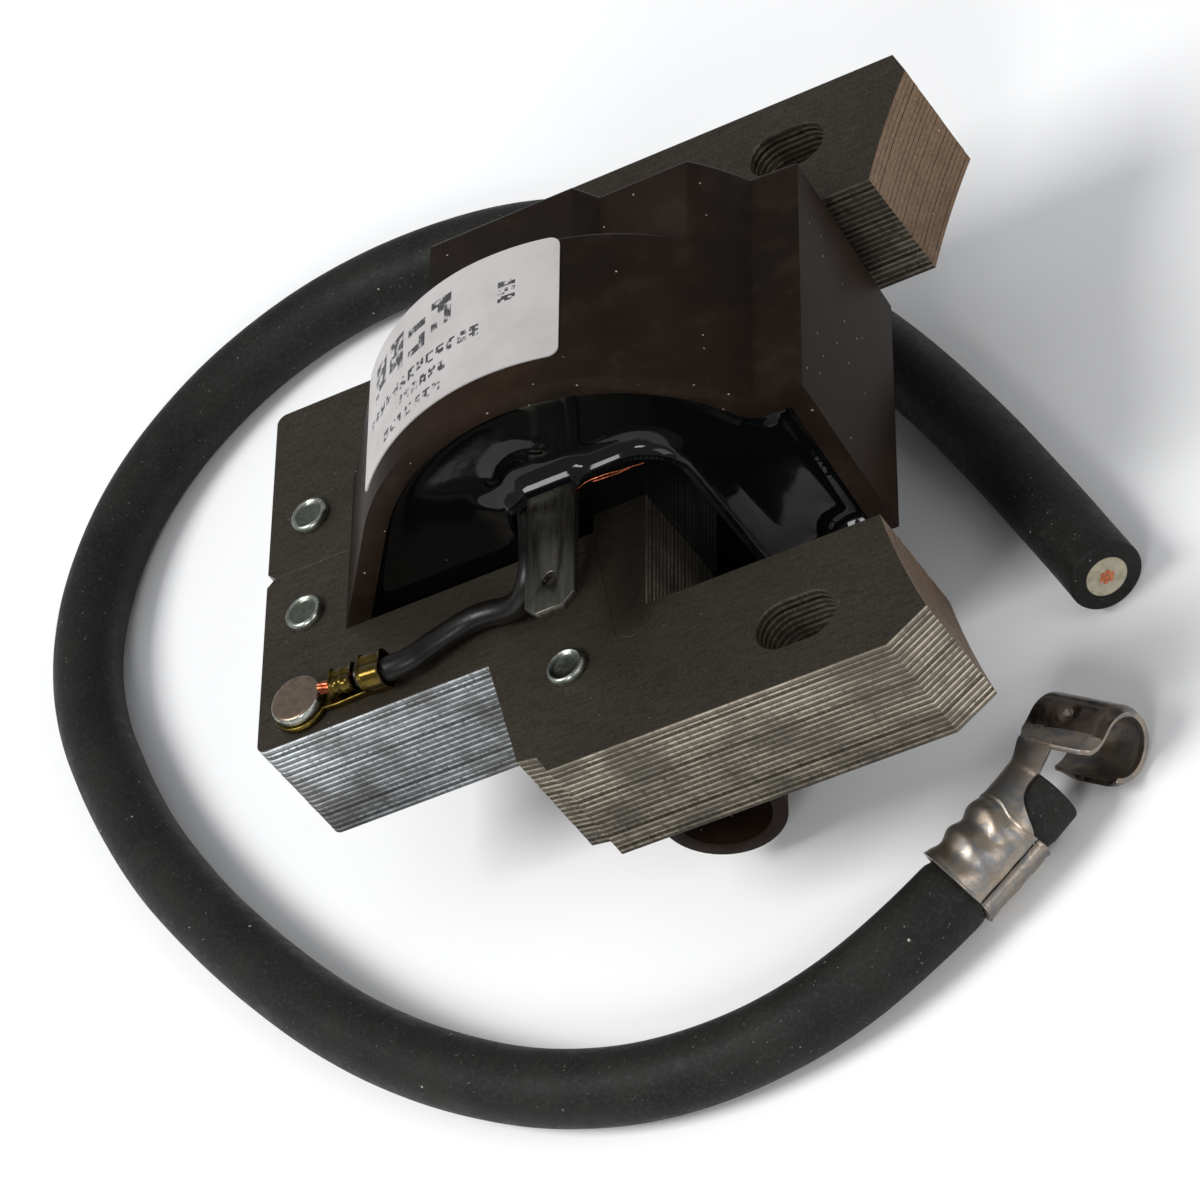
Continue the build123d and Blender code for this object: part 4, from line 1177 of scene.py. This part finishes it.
DIMPLE_ALONG, DIMPLE_DEGREES, DIMPLE_R, DIMPLE_DEPTH = 0.3, 82.0, 1.05, 0.70
# The neck's sections: along, its two edges in degrees, and its radius.
NECK = [
    (4.8, 8, 142, 3.80), (4.0, 24, 142, 3.80), (3.3, 45, 141, 3.79), (2.5, 60, 140, 3.78),
    (1.6, 66, 139, 3.78), (0.7, 67, 137, 3.80), (-0.2, 66, 132, 3.88),
]
NECK_SIDES = 14
# Where it meets the clip's lip: from, length, out and up.
NECK_TIPS = [(0.95, 3.6, -3.30, 4.26), (0.90, 3.5, -2.85, 3.90)]


def round_lead(along, degrees, radius):
    """A point round the lead's end."""
    place, across, up, forward = on_lead(max(along, 0.0) * MM)
    out = spoke(radians(degrees), across, up)
    return place + forward * min(along, 0.0) * MM + out * radius * MM


def barrel_radius(share, degrees):
    """Three crimped bulges that fade out towards the seam, and lips that stand off the jacket."""
    bulge = 0.5 + 0.5 * cos(2 * pi * (share * 2.6 + 0.5))
    strength = 0.16 + 0.84 * eased((degrees - 25) / 45) * eased((320 - degrees) / 60)
    if degrees > 320:
        strength = 0.0
    lip = 0.14 * (eased((0.05 - share) / 0.05) + eased((share - 0.95) / 0.05))
    along = BARREL_FROM + (BARREL_TO - BARREL_FROM) * share
    crinkle = 0.03 * noise.noise(Vector((along * 1.1, degrees / 28, 4)))
    return BARREL_R + 0.36 * bulge * strength + lip + crinkle


def barrel_sheet():
    """The wrapped sheet as rows along the lead, from one edge of the seam round to the other."""
    rows = []
    for i in range(BARREL_STEPS + 1):
        share = i / BARREL_STEPS
        row = []
        for j in range(BARREL_SIDES + 1):
            turn = j / BARREL_SIDES
            degrees = SEAM_AT + SEAM_HALF + (360 - 2 * SEAM_HALF) * turn
            tuck = 0.60 * eased((9 - min(turn, 1 - turn) * 360) / 9)
            tongue = 0.55 * eased((60 - abs(degrees - 40)) / 60)
            notch = 0.6 * eased((degrees - 55) / 25) * eased((140 - degrees) / 25)
            first = BARREL_FROM + (0.35 + tongue - notch) * 0.6
            last = BARREL_TO + 0.35 * sin(radians(degrees * 1.5)) * 0.5
            along = first * (1 - share) + last * share
            row.append(round_lead(along, degrees, barrel_radius(share, degrees) - tuck))
        rows.append(row)
    return rows


def on_clip(along, out, up):
    return (CLIP_MIDDLE + CLIP_AXIS * along + CLIP_OUT * out + UP * up) * MM


def clip_profile(along):
    """The clip's section: from its lower lip round under the plug's tip and over to a flared lip."""
    degrees = 236 + (205 - 236) * eased((along - CLIP_FROM) / 5)
    points = []
    while degrees < CLIP_END:
        angle = radians(degrees)
        points.append((CLIP_R * cos(angle), CLIP_R * sin(angle)))
        degrees += 4
    reach = 0.25 + 0.75 * eased((along + 4.4) / 2.4)
    for i in range(FLARE_STEPS + 1):
        share = i / FLARE_STEPS * reach * (len(FLARE) - 1)
        index = min(int(share), len(FLARE) - 2)
        points.append(between(FLARE[index], FLARE[index + 1], share - index))
    return points


def between(a, b, share):
    return tuple(p + (q - p) * share for p, q in zip(a, b))


def resampled(points, count):
    """The line's points moved to be the same distance apart."""
    lengths = [0.0]
    for a, b in zip(points, points[1:]):
        lengths.append(lengths[-1] + dist(a, b))
    result = []
    index = 0
    for i in range(count):
        goal = lengths[-1] * i / (count - 1)
        while index < len(points) - 2 and lengths[index + 1] < goal:
            index += 1
        share = (goal - lengths[index]) / (lengths[index + 1] - lengths[index])
        result.append(between(points[index], points[index + 1], share))
    return result


def clip_sheet():
    rows = []
    for i in range(CLIP_STEPS + 1):
        along = CLIP_FROM + (CLIP_TO - CLIP_FROM) * i / CLIP_STEPS
        row = []
        curl = 1 - CURL * eased((along - CLIP_TO + CURL_LENGTH) / CURL_LENGTH) ** 2
        for out, up in resampled(clip_profile(along), CLIP_SIDES):
            out, up = out * curl, up * curl
            turn = atan2(up, out) - radians(DIMPLE_DEGREES)
            away = hypot(along - DIMPLE_ALONG, turn * CLIP_R)
            sink = DIMPLE_DEPTH * eased((DIMPLE_R - away) / DIMPLE_R) if up > 0 else 0
            size = 1 - sink / hypot(out, up)
            row.append(on_clip(along, out * size, up * size))
        rows.append(row)
    return rows


def neck_sheet():
    """The strip that runs from the barrel along the top of the lead's end to the clip's flared lip."""
    shares = [j / NECK_SIDES for j in range(NECK_SIDES + 1)]
    rows = []
    for along, low, high, radius in NECK:
        rows.append([round_lead(along, low + (high - low) * share, radius) for share in shares])
    for start, length, out, up in NECK_TIPS:
        rows.append([on_clip(start - length * share, out, up) for share in shares])
    return smooth_rows(rows, 6)


def smooth_rows(rows, steps):
    """Rows added between the given ones on a smooth line through each column."""
    result = []
    last = len(rows) - 1
    for i in range(last):
        for step in range(steps):
            share = step / steps
            cube, square = share**3, share**2
            row = []
            for j in range(len(rows[0])):
                before, here, there, after = (rows[min(max(i + k, 0), last)][j] for k in (-1, 0, 1, 2))
                leave = (there - before) / 2 * (cube - 2 * square + share)
                arrive = (after - here) / 2 * (cube - square)
                place = here * (2 * cube - 3 * square + 1) + leave
                row.append(place + there * (3 * square - 2 * cube) + arrive)
            result.append(row)
    return result + [rows[-1]]


def sheet_metal(name, rows, outward):
    """A sheet of the steel's thickness inside the given surface, with eased edges."""
    mesh = skin(name, rows, ring=False)
    with edited(mesh) as work:
        work.normal_update()
        work.faces.ensure_lookup_table()
        middle = work.faces[len(work.faces) // 2]
        if middle.normal.dot(outward(middle.calc_center_median())) < 0:
            bmesh.ops.reverse_faces(work, faces=work.faces)
        work.normal_update()
        rim = [(e.verts[0], e.verts[1]) for e in work.edges if e.is_boundary]
        places = [(v, v.co - v.normal * STEEL_T * MM) for v in work.verts]
        copies = {v: work.verts.new(place) for v, place in places}
        for face in list(work.faces):
            work.faces.new([copies[v] for v in reversed(face.verts)])
        for a, b in rim:
            work.faces.new((a, b, copies[b], copies[a]))
        bmesh.ops.recalc_face_normals(work, faces=work.faces)
        round_sharp(work, 0.09 * MM, 55)
    return tidy(mesh, 50)


def make_terminal():
    """Barrel, neck and clip; the clip's outside is dark apart from its flared lip."""
    barrel_middle = round_lead(6, 0, 0)
    clip_middle = CLIP_MIDDLE * MM
    barrel = sheet_metal("barrel", barrel_sheet(), lambda p: p - barrel_middle)
    clip = sheet_metal("clip", clip_sheet(), lambda p: p - clip_middle)
    neck = sheet_metal("neck", neck_sheet(), lambda p: UP)
    for face in clip.polygons:
        off = face.center - clip_middle
        outside = face.normal.dot(off) > 0 and abs(face.normal.dot(CLIP_AXIS)) < 0.6
        on_flare = off.z > FLARE_ABOVE * MM and off.dot(CLIP_OUT) < FLARE_OUT * MM
        face.material_index = int(outside and not on_flare)
    mesh = joined("plug_terminal_steel", [barrel, neck, clip])
    looks = [look_tinned(), look_dark_steel()]
    return piece("plug_terminal_steel", mesh, looks, "plated", "plug_terminal")


terminal = make_terminal()
LEAD_EXIT = tuple(on_lead(BARREL_END)[0])

# ------------------------------------------------------------------ sealed inner pieces
nylon = look_plastic("bobbin_nylon", (0.28, 0.26, 0.21), 0.4)
inner_looks = {
    "primary_bobbin": nylon,
    "secondary_bobbin": nylon,
    "primary_winding": look_winding("primary_wire", 0.5, (0.55, 0.21, 0.08)),
    "secondary_winding": look_winding("secondary_wire", 0.12, (0.60, 0.27, 0.10)),
    "secondary_tap": look_brass(),
    "tower_contact": look_brass(),
    "module_board": look_plastic("board", (0.06, 0.14, 0.06), 0.35),
    "power_transistor": look_plastic("transistor_case", (0.012, 0.012, 0.013), 0.4),
    "trigger_transistor": look_plastic("small_case", (0.014, 0.013, 0.013), 0.4),
    "bias_resistor": look_plastic("resistor_body", (0.42, 0.30, 0.17), 0.3),
}
for node, look in inner_looks.items():
    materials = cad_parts[node].data.materials
    materials.clear()
    materials.append(look)

# ------------------------------------------------------------------ floor and light
FLOOR_HALF = 3.0
SKY_COLOR = (0.95, 0.97, 1.0, 1)
SKY_LIGHT = 0.42
MIDDLE = Vector((-0.02, 0.0, 0.0))


def make_floor():
    ends = (-FLOOR_HALF, 0, FLOOR_HALF)
    rows = [[Vector((x, y, cad_low[2])) for x in ends] for y in ends]
    floor = link(bpy.data.objects.new("floor", skin("floor", rows, ring=False)))
    floor.data.materials.append(look_floor())


def area_light(name, place, size, power):
    """A square lamp that faces the coil's middle."""
    data = bpy.data.lights.new(name, "AREA")
    data.shape = "RECTANGLE"
    data.size = size
    data.size_y = size
    data.energy = power
    light = link(bpy.data.objects.new(name, data))
    way = (Vector(place) - MIDDLE).normalized()
    light.matrix_world = Matrix.Translation(place) @ turned_to(way, Vector((1, 0, 0.01)))


def make_world():
    world = bpy.data.worlds.new("studio")
    world.use_nodes = True
    back = world.node_tree.nodes["Background"]
    back.inputs["Color"].default_value = SKY_COLOR
    back.inputs["Strength"].default_value = SKY_LIGHT
    bpy.context.scene.world = world


make_floor()
make_world()
area_light("key", (-0.55, -0.30, 0.80), 0.45, 8)
area_light("fill", (0.75, -0.45, 0.40), 0.50, 2)
area_light("front", (0.05, -0.90, 0.55), 0.22, 2.4)
view = bpy.context.scene.view_settings
view.view_transform = "Standard"
view.look = "None"
